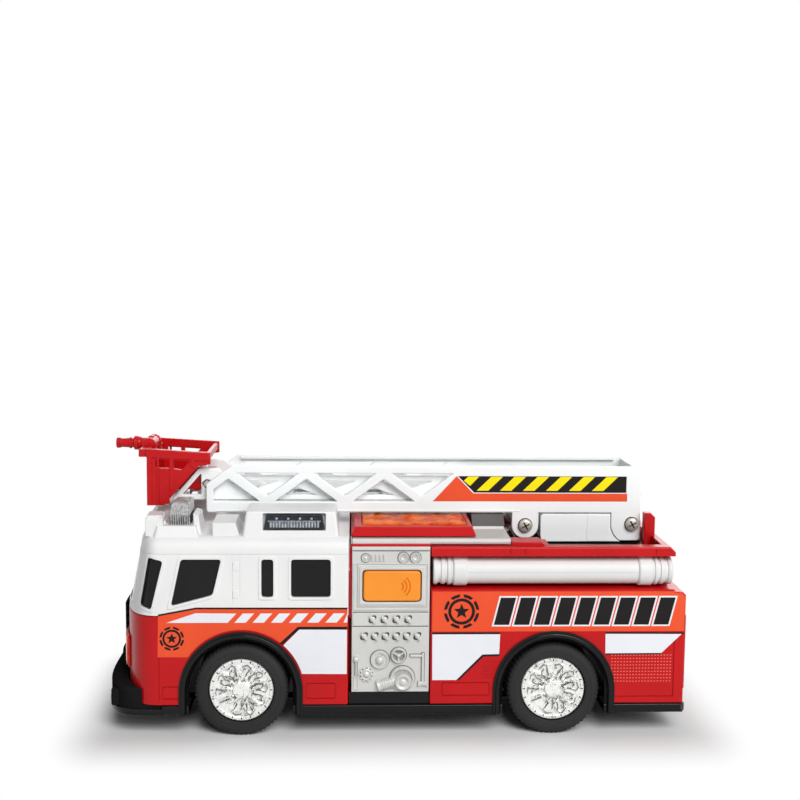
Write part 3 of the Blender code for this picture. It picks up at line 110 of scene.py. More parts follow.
def plate(axis, low, high, *loops, edge=0.0, steps=2):  # later loops are holes
    curve = bpy.data.curves.new("work", "CURVE")
    curve.dimensions = "2D"
    curve.fill_mode = "BOTH"
    curve.extrude = (high - low) / 2 - edge
    curve.bevel_depth = edge
    curve.bevel_resolution = steps
    curve.offset = -edge
    for loop in loops:
        spline = curve.splines.new("POLY")
        spline.points.add(len(loop) - 1)
        for point, (u, v) in zip(spline.points, loop):
            point.co = (u, v, 0, 1)
        spline.use_cyclic_u = True
    mesh = bake(workObject(curve))
    middle = (low + high) / 2 if axis != "Y" else -(low + high) / 2
    mesh.transform(planes[axis] @ Matrix.Translation((0, 0, middle)))
    return settle(fromMesh(mesh))


def skinBetween(bm, rings):  # faces from each closed ring to the next
    for low, high in zip(rings, rings[1:]):
        for i in range(len(low)):
            bm.faces.new((low[i - 1], low[i], high[i], high[i - 1]))


def lathe(profile, steps, matrix=Matrix.Identity(4)):  # (radius, height) turned about Z
    bm = bmesh.new()
    rings = []
    for radius, height in profile:
        ring = []
        for i in range(steps):
            angle = 2 * math.pi * i / steps
            ring.append(bm.verts.new((radius * math.cos(angle), radius * math.sin(angle), height)))
        rings.append(ring)
    skinBetween(bm, rings)
    for ring, (radius, _) in ((rings[0], profile[0]), (rings[-1], profile[-1])):
        if radius > 0:
            bm.faces.new(ring)
    bmesh.ops.remove_doubles(bm, verts=bm.verts, dist=0.002)
    bmesh.ops.dissolve_degenerate(bm, edges=bm.edges, dist=0.0005)
    mesh = settle(bm)
    mesh.transform(matrix)
    return mesh


def loft(sections):  # closed loops of points, joined in order and capped
    bm = bmesh.new()
    rings = [[bm.verts.new(point) for point in section] for section in sections]
    skinBetween(bm, rings)
    bm.faces.new(rings[0])
    bm.faces.new(rings[-1])
    return settle(bm)


def box(x, y, z, edge=0.0):
    return plate("Z", z[0], z[1], rect(x, y), edge=edge)


def solve(base, tool, how="DIFFERENCE"):
    target, cutter = workObject(base), workObject(tool)
    step = target.modifiers.new("solve", "BOOLEAN")
    step.object = cutter
    step.operation = how
    step.solver = "EXACT"
    mesh = bake(target)
    bpy.data.objects.remove(cutter)
    return settle(fromMesh(mesh))


def soften(mesh, width, angle=30, steps=2):  # rounded edges on a merged copy
    bm = fromMesh(mesh)
    bmesh.ops.remove_doubles(bm, verts=bm.verts, dist=weld)
    bmesh.ops.dissolve_limit(bm, angle_limit=0.01, verts=bm.verts, edges=bm.edges)
    obj = workObject(toMesh(bm))
    step = obj.modifiers.new("edge", "BEVEL")
    step.width = width
    step.segments = steps
    step.limit_method = "ANGLE"
    step.angle_limit = math.radians(angle)
    step.use_clamp_overlap = True
    step.miter_outer = "MITER_ARC"
    return bake(obj)


def cadCopy(node):  # a CAD node's mesh in millimetres
    bm = fromMesh(placed(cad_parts[node].data, Matrix.Scale(1 / millimetre, 4)))
    bmesh.ops.remove_doubles(bm, verts=bm.verts, dist=weld)
    return toMesh(bm)


def outward(side, x, y, z):  # local Z points away from the truck's side
    return Matrix.Translation((x, y, z)) @ Matrix.Rotation(-side * math.pi / 2, 4, "X")


# outlines

def rect(u, v):
    return [(u[0], v[0]), (u[1], v[0]), (u[1], v[1]), (u[0], v[1])]


def arc(centre, radius, start, end, steps):
    turns = [math.radians(start + (end - start) * i / steps) for i in range(steps + 1)]
    return [(centre[0] + radius * math.cos(a), centre[1] + radius * math.sin(a)) for a in turns]


def circle(centre, radius, steps=40):
    return arc(centre, radius, 0, 360 - 360 / steps, steps - 1)


def anticlockwise(loop):
    area = sum(a[0] * b[1] - b[0] * a[1] for a, b in zip(loop, loop[1:] + loop[:1]))
    return loop if area > 0 else loop[::-1]


def grow(loop, amount):  # outline moved outwards, corner by corner
    loop = anticlockwise(loop)
    result = []
    for i, point in enumerate(loop):
        before, here, after = Vector(loop[i - 1]), Vector(point), Vector(loop[(i + 1) % len(loop)])
        u, v = (here - before).normalized(), (after - here).normalized()
        out = Vector((u.y + v.y, -u.x - v.x)) / (1 + u.dot(v))
        result.append(tuple(here + amount * out))
    return result


def rounded(loop, radius, steps=4):  # corners replaced by short curves
    result = []
    for i, point in enumerate(loop):
        before, here, after = Vector(loop[i - 1]), Vector(point), Vector(loop[(i + 1) % len(loop)])
        reach = min(radius, (before - here).length * 0.48, (after - here).length * 0.48)
        first = here + (before - here).normalized() * reach
        last = here + (after - here).normalized() * reach
        for k in range(steps + 1):
            t = k / steps
            result.append(tuple(first * (1 - t) ** 2 + here * 2 * t * (1 - t) + last * t * t))
    return result


def noseLine(startX, halfWidth, depth, power, steps=56):  # bowed front in plan, left to right
    line = []
    for i in range(steps + 1):
        angle = math.pi * (i / steps - 0.5)
        across = math.copysign(abs(math.sin(angle)) ** (2 / power), angle)
        line.append((startX - depth * abs(math.cos(angle)) ** (2 / power), halfWidth * across))
    return line


# geometry node trees for what repeats

socketKinds = {
    "count": "NodeSocketInt", "size": "NodeSocketFloat", "step": "NodeSocketVector",
    "shape": "NodeSocketObject", "finish": "NodeSocketMaterial", "geometry": "NodeSocketGeometry",
}


def startTree(name, sockets):
    tree = bpy.data.node_groups.new(name, "GeometryNodeTree")
    for label, kind in sockets:
        tree.interface.new_socket(label, in_out="INPUT", socket_type=socketKinds[kind])
    tree.interface.new_socket("Geometry", in_out="OUTPUT", socket_type="NodeSocketGeometry")
    return tree, tree.nodes.new("NodeGroupInput")


def endTree(tree, start, points, rotation=None):  # shape on every point, made real, with its finish
    link = tree.links.new
    place = tree.nodes.new("GeometryNodeInstanceOnPoints")
    shape = tree.nodes.new("GeometryNodeObjectInfo")
    real = tree.nodes.new("GeometryNodeRealizeInstances")
    paint = tree.nodes.new("GeometryNodeSetMaterial")
    end = tree.nodes.new("NodeGroupOutput")
    link(start.outputs["Shape"], shape.inputs["Object"])
    link(points, place.inputs["Points"])
    link(shape.outputs["Geometry"], place.inputs["Instance"])
    if rotation:
        link(rotation, place.inputs["Rotation"])
    link(place.outputs["Instances"], real.inputs["Geometry"])
    link(real.outputs["Geometry"], paint.inputs["Geometry"])
    link(start.outputs["Finish"], paint.inputs["Material"])
    link(paint.outputs["Geometry"], end.inputs["Geometry"])
    return tree


def buildRowsTree():
    tree, start = startTree("rows", (
        ("Along Count", "count"), ("Along Step", "step"), ("Across Count", "count"), ("Across Step", "step"),
        ("Shape", "shape"), ("Finish", "finish")))
    lines = []
    for label in ("Along", "Across"):
        line = tree.nodes.new("GeometryNodeMeshLine")
        tree.links.new(start.outputs[label + " Count"], line.inputs["Count"])
        tree.links.new(start.outputs[label + " Step"], line.inputs["Offset"])
        lines.append(line)
    spread = tree.nodes.new("GeometryNodeInstanceOnPoints")
    real = tree.nodes.new("GeometryNodeRealizeInstances")
    tree.links.new(lines[1].outputs["Mesh"], spread.inputs["Points"])
    tree.links.new(lines[0].outputs["Mesh"], spread.inputs["Instance"])
    tree.links.new(spread.outputs["Instances"], real.inputs["Geometry"])
    return endTree(tree, start, real.outputs["Geometry"])


def buildRingTree():
    tree, start = startTree("ring", (
        ("Count", "count"), ("Radius", "size"), ("Shape", "shape"), ("Finish", "finish")))
    ring = tree.nodes.new("GeometryNodeMeshCircle")
    place = tree.nodes.new("GeometryNodeInputPosition")
    turn = tree.nodes.new("FunctionNodeAlignRotationToVector")
    turn.axis = "X"
    tree.links.new(start.outputs["Count"], ring.inputs["Vertices"])
    tree.links.new(start.outputs["Radius"], ring.inputs["Radius"])
    tree.links.new(place.outputs["Position"], turn.inputs["Vector"])
    return endTree(tree, start, ring.outputs["Mesh"], turn.outputs["Rotation"])


def buildSpotsTree():
    tree, start = startTree("spots", (("Geometry", "geometry"), ("Shape", "shape"), ("Finish", "finish")))
    return endTree(tree, start, start.outputs["Geometry"])


rowsTree, ringTree, spotsTree = buildRowsTree(), buildRingTree(), buildSpotsTree()


def runTree(tree, shape, finish, values, spots=()):
    base = bpy.data.meshes.new("work")
    base.from_pydata(list(spots), [], [])
    carrier, sample = workObject(base), workObject(shape)
    values = dict(values, Shape=sample, Finish=finish)
    step = carrier.modifiers.new("repeat", "NODES")
    step.node_group = tree
    for item in tree.interface.items_tree:
        if item.in_out == "INPUT" and item.name in values:
            step[item.identifier] = values[item.name]
    mesh = bake(carrier)
    bpy.data.objects.remove(sample)
    return mesh


def rows(shape, finish, start, along, alongStep, across=1, acrossStep=(0, 0, 0)):
    mesh = runTree(rowsTree, shape, finish, {
        "Along Count": along, "Along Step": alongStep, "Across Count": across, "Across Step": acrossStep})
    mesh.transform(Matrix.Translation(start))
    return mesh


def ring(shape, finish, count, radius, matrix):
    mesh = runTree(ringTree, shape, finish, {"Count": count, "Radius": float(radius)})
    mesh.transform(matrix)
    return mesh


def spots(shape, finish, places):
    return runTree(spotsTree, shape, finish, {}, places)


# finishes

def tint(red, green, blue):
    def linear(value):
        value /= 255
        return value / 12.92 if value <= 0.04045 else ((value + 0.055) / 1.055) ** 2.4
    return linear(red), linear(green), linear(blue), 1


groupKinds = {"vector": "NodeSocketVector", "color": "NodeSocketColor", "value": "NodeSocketFloat"}


def startGroup(name, inputs, outputs):
    tree = bpy.data.node_groups.new(name, "ShaderNodeTree")
    for label, kind in inputs:
        tree.interface.new_socket(label, in_out="INPUT", socket_type=groupKinds[kind])
    for label, kind in outputs:
        tree.interface.new_socket(label, in_out="OUTPUT", socket_type=groupKinds[kind])
    return tree, tree.nodes.new("NodeGroupInput"), tree.nodes.new("NodeGroupOutput")


def endGroup(tree, end, values):
    for label, value in values.items():
        tree.links.new(value, end.inputs[label])
    return tree


def feed(tree, value, socket):  # links a socket or sets a constant
    if isinstance(value, bpy.types.NodeSocket):
        tree.links.new(value, socket)
    else:
        socket.default_value = value


def fill(node, values):
    for label, value in values.items():
        node.inputs[label].default_value = value


def maths(tree, operation, *values):
    node = tree.nodes.new("ShaderNodeMath")
    node.operation = operation
    for value, socket in zip(values, node.inputs):
        feed(tree, value, socket)
    return node.outputs[0]


def addNoise(tree, vector, scale, detail, distortion=0.0):
    node = tree.nodes.new("ShaderNodeTexNoise")
    fill(node, {"Detail": detail, "Distortion": distortion})
    feed(tree, vector, node.inputs["Vector"])
    feed(tree, scale, node.inputs["Scale"])
    return node.outputs["Fac"]


def stretch(tree, value, low, high, to=(0.0, 1.0)):
    node = tree.nodes.new("ShaderNodeMapRange")
    fill(node, {"From Min": low, "From Max": high, "To Min": to[0], "To Max": to[1]})
    tree.links.new(value, node.inputs["Value"])
    return node.outputs["Result"]


def mixColors(tree, factor, first, second):
    node = tree.nodes.new("ShaderNodeMix")
    node.data_type = "RGBA"
    for value, socket in ((factor, 0), (first, 6), (second, 7)):
        feed(tree, value, node.inputs[socket])
    return node.outputs[2]


def buildMouldedSkin():  # slow colour drift, patchy gloss and a fine moulding grain
    tree, start, end = startGroup("mouldedSkin", (
        ("Vector", "vector"), ("Color", "color"), ("Shade", "color"), ("Grain Scale", "value"),
        ("Gloss", "value"), ("Gloss Range", "value")), (
        ("Color", "color"), ("Roughness", "value"), ("Height", "value")))
    vector = start.outputs["Vector"]
    drift = stretch(tree, addNoise(tree, vector, 70, 3), 0.3, 0.7)
    speck = stretch(tree, addNoise(tree, vector, 900, 2), 0.55, 0.8, (0.0, 0.5))
    both = maths(tree, "MAXIMUM", drift, speck)
    patch = addNoise(tree, vector, 240, 3)
    return endGroup(tree, end, {
        "Color": mixColors(tree, both, start.outputs["Color"], start.outputs["Shade"]),
        "Roughness": maths(tree, "MULTIPLY_ADD", patch, start.outputs["Gloss Range"], start.outputs["Gloss"]),
        "Height": addNoise(tree, vector, start.outputs["Grain Scale"], 2)})


def buildLensSwirl():  # thick and thin places in a cast lens
    tree, start, end = startGroup("lensSwirl", (
        ("Vector", "vector"), ("Color", "color"), ("Deep Color", "color"), ("Scale", "value")), (
        ("Color", "color"), ("Height", "value")))
    flow = addNoise(tree, start.outputs["Vector"], start.outputs["Scale"], 2, 1.6)
    thick = stretch(tree, flow, 0.35, 0.65)
    color = mixColors(tree, thick, start.outputs["Color"], start.outputs["Deep Color"])
    return endGroup(tree, end, {"Color": color, "Height": flow})


def buildPressedFoil():  # painted reflections: thin dark lines where a warped noise passes its middle value
    tree, start, end = startGroup("pressedFoil", (
        ("Vector", "vector"), ("Color", "color"), ("Dark Color", "color"), ("Scale", "value")), (
        ("Color", "color"), ("Height", "value")))
    flow = addNoise(tree, start.outputs["Vector"], start.outputs["Scale"], 1.5, 1.2)
    patch = stretch(tree, addNoise(tree, start.outputs["Vector"], 330, 1), 0.4, 0.6, (0.12, 0.8))
    middle, breadth = 0.5, 0.022
    # painted dark reflections along the creases
    crease = maths(tree, "MULTIPLY", maths(tree, "COMPARE", flow, middle, breadth), patch)
    color = mixColors(tree, crease, start.outputs["Color"], start.outputs["Dark Color"])
    return endGroup(tree, end, {"Color": color, "Height": flow})


mouldedSkin, lensSwirl, pressedFoil = buildMouldedSkin(), buildLensSwirl(), buildPressedFoil()


def startMaterial(name, group):
    material = bpy.data.materials.new(name)
    material.use_nodes = True
    tree = material.node_tree
    shader = tree.nodes["Principled BSDF"]
    place = tree.nodes.new("ShaderNodeTexCoord")
    skin = tree.nodes.new("ShaderNodeGroup")
    skin.node_tree = group
    tree.links.new(place.outputs["Object"], skin.inputs["Vector"])
    tree.links.new(skin.outputs["Color"], shader.inputs["Base Color"])
    return material, tree, shader, skin


def addBump(tree, shader, height, depth, strength=0.5):
    bump = tree.nodes.new("ShaderNodeBump")
    fill(bump, {"Strength": strength, "Distance": depth})
    tree.links.new(height, bump.inputs["Height"])
    tree.links.new(bump.outputs["Normal"], shader.inputs["Normal"])


def moulded(name, color, shade, gloss=0.25, glossRange=0.12, grain=2600, depth=0.00002, metal=0.0,
            specular=0.3):
    material, tree, shader, skin = startMaterial(name, mouldedSkin)
    fill(skin, {"Color": tint(*color), "Shade": tint(*shade), "Grain Scale": grain, "Gloss": gloss,
                "Gloss Range": glossRange})
    fill(shader, {"Specular IOR Level": specular, "Metallic": metal})
    tree.links.new(skin.outputs["Roughness"], shader.inputs["Roughness"])
    addBump(tree, shader, skin.outputs["Height"], depth)
    return material


def lens(name, color, deep, scale, through, rough, depth=0.0001, specular=0.3):
    material, tree, shader, skin = startMaterial(name, lensSwirl)
    fill(skin, {"Color": tint(*color), "Deep Color": tint(*deep), "Scale": scale})
    fill(shader, {"Roughness": rough, "Transmission Weight": through, "Specular IOR Level": specular,
                  "IOR": 1.49})
    addBump(tree, shader, skin.outputs["Height"], depth)
    return material


def calmBounce(material, color):  # bounced light sees this colour, so that white parts above stay white
    tree = material.node_tree
    target = tree.nodes["Principled BSDF"].inputs["Base Color"]
    bounced = tree.nodes.new("ShaderNodeLightPath").outputs["Is Diffuse Ray"]
    tree.links.new(mixColors(tree, bounced, target.links[0].from_socket, tint(*color)), target)


def foil(name, color, dark, scale):  # bright plate with thin painted dark reflections along its creases
    material, tree, shader, skin = startMaterial(name, pressedFoil)
    fill(skin, {"Color": tint(*color), "Dark Color": tint(*dark), "Scale": scale})
    fill(shader, {"Roughness": 0.3, "Metallic": 0.4})
    addBump(tree, shader, skin.outputs["Height"], 0.0001)
    return material


redPlastic = moulded("redPlastic", (194, 17, 22), (182, 13, 18), gloss=0.24, specular=0.22)
redGlint = moulded("redGlint", (236, 122, 106), (226, 96, 84), gloss=0.2, specular=0.4)
whitePlastic = moulded("whitePlastic", (242, 245, 245), (238, 241, 241), gloss=0.28, specular=0.25)
cabWhite = moulded("cabWhite", (233, 233, 232), (228, 228, 228), gloss=0.28, specular=0.2)
hoseWhite = moulded("hoseWhite", (222, 223, 222), (217, 218, 217), gloss=0.28, specular=0.2)
blackPlastic = moulded("blackPlastic", (13, 13, 14), (18, 18, 19), gloss=0.13, glossRange=0.06, specular=0.2)
archBlack = moulded("archBlack", (10, 10, 11), (14, 14, 15), gloss=0.08, glossRange=0.04, specular=0.22)
guardBlack = moulded("guardBlack", (27, 26, 27), (31, 30, 31), gloss=0.45, specular=0.0)
silverPlastic = moulded("silverPlastic", (208, 208, 205), (198, 198, 195), gloss=0.3, grain=4200, metal=0.15)
# painted shade for the middle of the valve wheel
silverPaintedHalfShade = moulded("silverPaintedHalfShade", (156, 156, 154), (142, 142, 140), gloss=0.4, grain=4200)
# painted shade: dark silver for the relief's edges and for the shaded ramp under the ladder
silverPaintedShade = moulded("silverPaintedShade", (90, 89, 88), (76, 75, 74), gloss=0.5, grain=4200)
orangePlastic = moulded("orangePlastic", (242, 150, 54), (237, 140, 44), gloss=0.26, specular=0.15)
orangeShade = moulded("orangeShade", (226, 112, 14), (218, 104, 12), gloss=0.3, specular=0.2)
windowBlack = moulded("windowBlack", (28, 27, 27), (23, 22, 22), gloss=0.16, glossRange=0.06, specular=0.16)
tyreRubber = moulded("tyreRubber", (45, 44, 44), (52, 51, 51), gloss=0.5, glossRange=0.2, grain=1800,
                     depth=0.00004, specular=0.1)
# painted reflections: dark lines on the bright disc
chromePlate = foil("chromePlate", (240, 241, 237), (120, 120, 121), 620)
# painted reflection: dark strokes on the wheel discs
chromePaintedReflection = moulded("chromePaintedReflection", (74, 74, 74), (120, 120, 118), gloss=0.3, grain=900)
screwSteel = moulded("screwSteel", (206, 202, 194), (172, 166, 156), gloss=0.25, glossRange=0.15, metal=0.35,
                     grain=1500)
# painted shade in the screw recesses and round the ladder screw heads
screwPaintedShade = moulded("screwPaintedShade", (40, 36, 32), (58, 50, 42), gloss=0.4)
printOrange = moulded("printOrange", (233, 86, 50), (229, 80, 46), gloss=0.34, depth=0.000008, specular=0.15)
printWhite = moulded("printWhite", (231, 233, 238), (226, 228, 234), gloss=0.34, depth=0.000008,
                     specular=0.15)
printBlack = moulded("printBlack", (26, 23, 24), (32, 28, 29), gloss=0.34, depth=0.000008, specular=0.12)
printYellow = moulded("printYellow", (250, 232, 24), (246, 224, 16), gloss=0.34, depth=0.000008,
                      specular=0.12)
boardGreen = moulded("boardGreen", (44, 116, 66), (34, 98, 54), gloss=0.4)
amberLens = lens("amberLens", (251, 124, 28), (214, 50, 10), 190, 0.0, 0.25, specular=0.08)
calmBounce(amberLens, (150, 128, 120))
amberMarker = lens("amberMarker", (240, 96, 30), (214, 64, 18), 300, 0.15, 0.18)
redLens = lens("redLens", (196, 24, 26), (150, 12, 16), 300, 0.2, 0.15)
smokedLens = lens("smokedLens", (40, 47, 55), (24, 29, 36), 420, 0.0, 0.14)
# painted reflection on the side lamps' ribs
smokedRibPaintedGlare = lens("smokedRibPaintedGlare", (178, 184, 190), (128, 136, 144), 900, 0.0, 0.2)
clearLens = lens("clearLens", (204, 204, 203), (156, 157, 159), 520, 0.1, 0.2)
clearStreak = lens("clearStreak", (78, 80, 84), (50, 52, 56), 700, 0.0, 0.25)
print("finishes made")


# joins sub-meshes into one finished piece

def assemble(name, parts, body, stands=(), sharp=32):
    bm = bmesh.new()
    finishes = []
    for mesh, finish in parts:
        if finish not in finishes:
            finishes.append(finish)
        first = len(bm.faces)
        bm.from_mesh(mesh)
        bm.faces.ensure_lookup_table()
        for face in bm.faces[first:]:
            face.material_index = finishes.index(finish)
    bmesh.ops.dissolve_degenerate(bm, edges=bm.edges, dist=0.0008)
    bmesh.ops.scale(bm, vec=(millimetre,) * 3, verts=bm.verts)
    mesh = toMesh(bm, name)
    for finish in finishes:
        mesh.materials.append(finish)
    mesh.shade_smooth()
    mesh.set_sharp_from_angle(angle=math.radians(sharp))
    obj = workObject(mesh)
    level = obj.modifiers.new("level", "WEIGHTED_NORMAL")  # keeps broad faces flat beside rounded edges
    level.keep_sharp = True
    finished = bake(obj)
    finished.name = name
    piece = workObject(finished, name)
    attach(piece, body)
    if stands:
        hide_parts(*stands)
    print(name, len(finished.polygons), "faces")


def assemblePair(name, parts, body, node, sharp=32):  # the left piece and its mirror image
    for side, turn in (("left", gather), ("right", mirrored)):
        turned = [(turn(mesh), finish) for mesh, finish in parts]
        assemble(name + side.title(), turned, body, [node + "_" + side], sharp)


def inFinish(finish, *meshes):
    return [(mesh, finish) for mesh in meshes]


# black chassis with bumper and wheel arches

chassis = {
    "low": 6.0, "high": 8.3, "halfWidth": 28.2, "frontX": -59.0, "rearX": 75.6, "axles": (-39.0, 41.2),
    "axleZ": 12.0, "wellY": 17.0, "wallY": 15.4, "archInner": 13.2, "archOuter": 14.4, "lipR": 15.75,
    "lipY": 28.3, "faceY": 29.1, "footZ": 6.05, "bumperX": -63.0, "bumperDepth": 12.2, "bumperHalf": 27.6,
    "bumperZ": (5.5, 12.7), "guardHalf": 15.0, "guardSetback": 2.2, "guardTop": 17.0, "coverX": (10.7, 37.8),
    "coverHalf": 8.0,
}
cab = {
    "halfWidth": 28.0, "noseX": -59.0, "noseDepth": 11.0, "power": 2.8, "rearX": -11.7, "bottom": 8.4,
    "belt": 31.5, "shoulder": 48.6, "roof": 51.8, "rake": 4.0, "roofEdge": 2.9, "wall": 1.6, "capZ": 47.6,
    "capProud": 0.16, "corner": 0.6,
}


def cabPlan(shrink, depth, rearX):
    half = cab["halfWidth"] - shrink
    soft = cab["corner"]
    tail = [(rearX - soft, half), (rearX - soft * 0.3, half - soft * 0.3), (rearX, half - soft)]
    nose = noseLine(cab["noseX"], half, depth - shrink, cab["power"])
    return nose + tail + [(x, -y) for x, y in tail[::-1]]


def archPath(axleX, radius, footZ, steps=48):
    crown = arc((axleX, chassis["axleZ"]), radius, 0, 180, steps)
    return [(axleX + radius, footZ)] + crown + [(axleX - radius, footZ)]


def archLiner(axleX):
    inner, outer, lip = chassis["archInner"], chassis["archOuter"], chassis["lipR"]
    wall, lipY, face = chassis["wallY"], chassis["lipY"], chassis["faceY"]
    profile = [(inner, wall), (outer, wall), (outer, lipY), (lip - 0.25, lipY), (lip, lipY + 0.1),
               (lip, face - 0.55), (lip - 0.1, face - 0.45), (lip - 0.62, face - 0.42),
               (lip - 0.72, face - 0.12), (lip - 0.95, face), (lip - 1.3, face), (lip - 1.55, face - 0.15),
               (lip - 1.7, face - 0.6), (inner + 0.2, face - 1.3), (inner, face - 1.6)]
    paths = [archPath(axleX, radius, chassis["footZ"]) for radius, _ in profile]
    sections = []
    for station in range(len(paths[0])):
        sections.append([(path[station][0], -y, path[station][1]) for path, (_, y) in zip(paths, profile)])
    return loft(sections)


def buildChassis():
    size = chassis
    edge = [(size["frontX"], -size["halfWidth"])]
    for axleX in size["axles"]:
        left, right = axleX - size["archInner"], axleX + size["archInner"]
        edge += [(left, -size["halfWidth"]), (left, -size["wellY"]), (right, -size["wellY"]),
                 (right, -size["halfWidth"])]
    edge += [(size["rearX"] - 1.2, -size["halfWidth"]), (size["rearX"], 1.2 - size["halfWidth"])]
    pan = edge + [(x, -y) for x, y in edge[::-1]]
    cover = rect(size["coverX"], (-size["coverHalf"], size["coverHalf"]))
    parts = [plate("Z", size["low"], size["high"], pan, cover, edge=0.35)]
    arches = []
    for axleX in size["axles"]:
        well = archPath(axleX, size["archInner"] + 0.2, size["footZ"])
        arches += [archLiner(axleX), plate("Y", -size["wellY"], -size["wallY"], well)]
    arches = bothSides(*arches)
    block = noseLine(size["bumperX"], size["bumperHalf"], size["bumperDepth"], 3.0, 72)
    block += [(-58.6, size["bumperHalf"]), (-58.6, -size["bumperHalf"])]
    low, high = size["bumperZ"]
    guard = noseLine(size["bumperX"], size["guardHalf"], size["bumperDepth"] - size["guardSetback"], 3.0, 48)
    guardIn = noseLine(size["bumperX"], size["guardHalf"] - 1.4, size["bumperDepth"] - 3.4, 3.0, 48)
    nose = plate("Z", size["high"], cab["belt"], cabPlan(-0.3, cab["noseDepth"], -40))
    parts.append(solve(plate("Z", low, low + 1.8, block, edge=0.5), nose))
    guards = [solve(plate("Z", low + 1.3, high, grow(block, -0.45), edge=0.7, steps=3), nose),
              solve(plate("Z", high - 0.8, size["guardTop"], guard, edge=0.6, steps=3), nose),
              solve(plate("Z", high - 0.8, size["guardTop"] - 0.6, guardIn, edge=0.3), nose)]
    rib = plate("Y", -15.0, 15.0, rounded(rect((-0.4, 0.4), (5.62, 6.3)), 0.2), edge=0.15)
    parts.append(rows(rib, blackPlastic, (-20.0, 0, 0), 6, (5.0, 0, 0)))
    parts.append(rows(rib, blackPlastic, (59.5, 0, 0), 3, (5.0, 0, 0)))
    sill = box((-11.5, 9.0), (-27.3, -20.8), (8.0, 11.5), 0.2)
    skirts = [box(x, (-28.1, -26.4), (z, 6.6), 0.2) for x, z in (((-24.4, 26.6), 5.4), ((55.8, 75.0), 6.0))]
    parts.append(bothSides(sill, *skirts))
    bracket = plate("Z", 7.2, 11.6, rounded(rect((-72.6, -70.2), (-24.6, -18.5)), 0.8), edge=0.4)
    guards.append(bothSides(bracket))
    parts = inFinish(blackPlastic, *parts) + inFinish(guardBlack, *guards) + [(arches, archBlack)]
    assemble("chassisMoulding", parts, "body", ["chassis"])


buildChassis()


# red lower body

lower = {
    "frontX": 9.2, "rearX": 75.0, "upperX": 72.0, "stepZ": 37.6, "topZ": 49.5, "wellX": (30.5, 69.0),
    "wellHalf": 18.6, "wellFloor": 45.0, "channelY": 20.2, "channelZ": (38.5, 47.1), "archR": 14.7,
    "spineY": (19.0, 20.6), "treadStart": (55.9, 14.2), "treadCount": (20, 9), "treadStep": (0.8, 0.86),
}


def buildLowerBody():
    size = lower
    half, belt, bottom = cab["halfWidth"], cab["belt"], cab["bottom"]
    plan = cabPlan(0, cab["noseDepth"], cab["rearX"])
    inside = cabPlan(cab["wall"], cab["noseDepth"], cab["rearX"] - cab["wall"])
    nose = plate("Z", bottom, belt, plan, inside, edge=0.25)
    profile = [(size["frontX"], bottom), (size["rearX"], bottom), (size["rearX"], size["stepZ"] - 0.7),
               (size["rearX"] - 0.7, size["stepZ"]), (size["upperX"], size["stepZ"] + 0.3),
               (size["upperX"], size["topZ"] - 1.4), (size["upperX"] - 1.4, size["topZ"]),
               (size["frontX"], size["topZ"])]
    rear = plate("Y", -half, half, profile, edge=0.4)
    channel = rounded(rect((size["channelY"], half + 4), size["channelZ"]), 1.6, 6)
    for loop in (channel, [(-y, z) for y, z in channel]):
        rear = solve(rear, plate("X", 0, 80, loop))
    hollows = (((10.8, 73.4), 26.4, (0, 36.9)), (size["wellX"], size["wellHalf"], (size["wellFloor"], 70)),
               ((10.8, 28.9), 18.6, (37.2, 47.9)), ((39.7, 69.0), 24.8, (47.9, 70)))
    for x, y, z in hollows:
        rear = solve(rear, box(x, (-y, y), z))
    shell = gather(nose, rear)
    for axleX in chassis["axles"]:
        shell = solve(shell, plate("Y", -40, 40, archPath(axleX, size["archR"], 0)))
    seams = [rect((-59.82, -59.58), (9.9, 21.0)), rect((72.1, 72.35), (10.45, 27.0)),
             rect((55.2, 72.35), (10.15, 10.4))]
    marks = [plate("Y", -29, -27.7, seam) for seam in seams]  # door gap, flush panels and seam lines
    panels = ((-59.0, -54.4), (10.0, 13.4)), ((-22.6, -14.9), (10.0, 14.2)), ((12.2, 24.6), (10.6, 14.2))
    for x, z in panels:
        panel = rounded(rect(x, z), 0.5)
        marks.append(plate("Y", -29, -27.72, panel, grow(panel, -0.28)))
    marks += [plate("Y", -29, -27.75, rect((x - 0.1, x + 0.1), (47.6, 49.0))) for x in (29.4, 33.2, 66.8)]
    shell = solve(shell, bothSides(*marks))
    parts = [shell]
    post = [(67.0, 47.1), (69.9, 47.1), (69.9, 54.4), (68.7, 55.6), (67.0, 55.6)]
    parts.append(bothSides(plate("Y", -14.2, -11.6, post, edge=0.25)))
    bump = [(30.0, 49.0), (39.2, 49.0), (37.6, 50.4), (30.0, 50.4)]
    parts.append(bothSides(plate("Y", -26.0, -20.2, bump, edge=0.2)))
    dash = plate("Y", -28.14, -27.9, rect((0.06, 0.44), (0, 0.24)))
    (startX, startZ), (columns, lines) = size["treadStart"], size["treadCount"]
    stepX, stepZ = size["treadStep"]
    grid = rows(dash, redGlint, (startX, 0, startZ), columns, (stepX, 0, 0), lines, (0, 0, stepZ))
    small = rows(dash, redPlastic, (22.2, 0, 15.4), 6, (0.66, 0, 0), 6, (0.28, 0, 0.86))
    parts.append(bothSides(small))
    low, high = size["spineY"]
    parts.append(bothSides(plate("Y", -high, -low, rect((-12.2, 9.7), (bottom, belt)))))
    parts.append(bothSides(box((-11.55, -11.05), (-27.2, -24.0), (belt - 0.5, 49.4))))
    step = plate("Z", 12.2, 13.6, rounded(rect((74.6, 75.9), (-13.5, 13.5)), 0.4), edge=0.3)
    louvre = plate("Y", -11.5, 11.5, [(74.8, 16.0), (75.5, 16.2), (74.8, 17.4)], edge=0.1)
    parts += [step, rows(louvre, redPlastic, (0, 0, 0), 7, (0, 0, 2.4))]
    parts = inFinish(redPlastic, *parts) + [(bothSides(grid), redGlint)]
    assemble("lowerBody", parts, "body", ["body_shell"])


buildLowerBody()


# white upper cab and its glazing

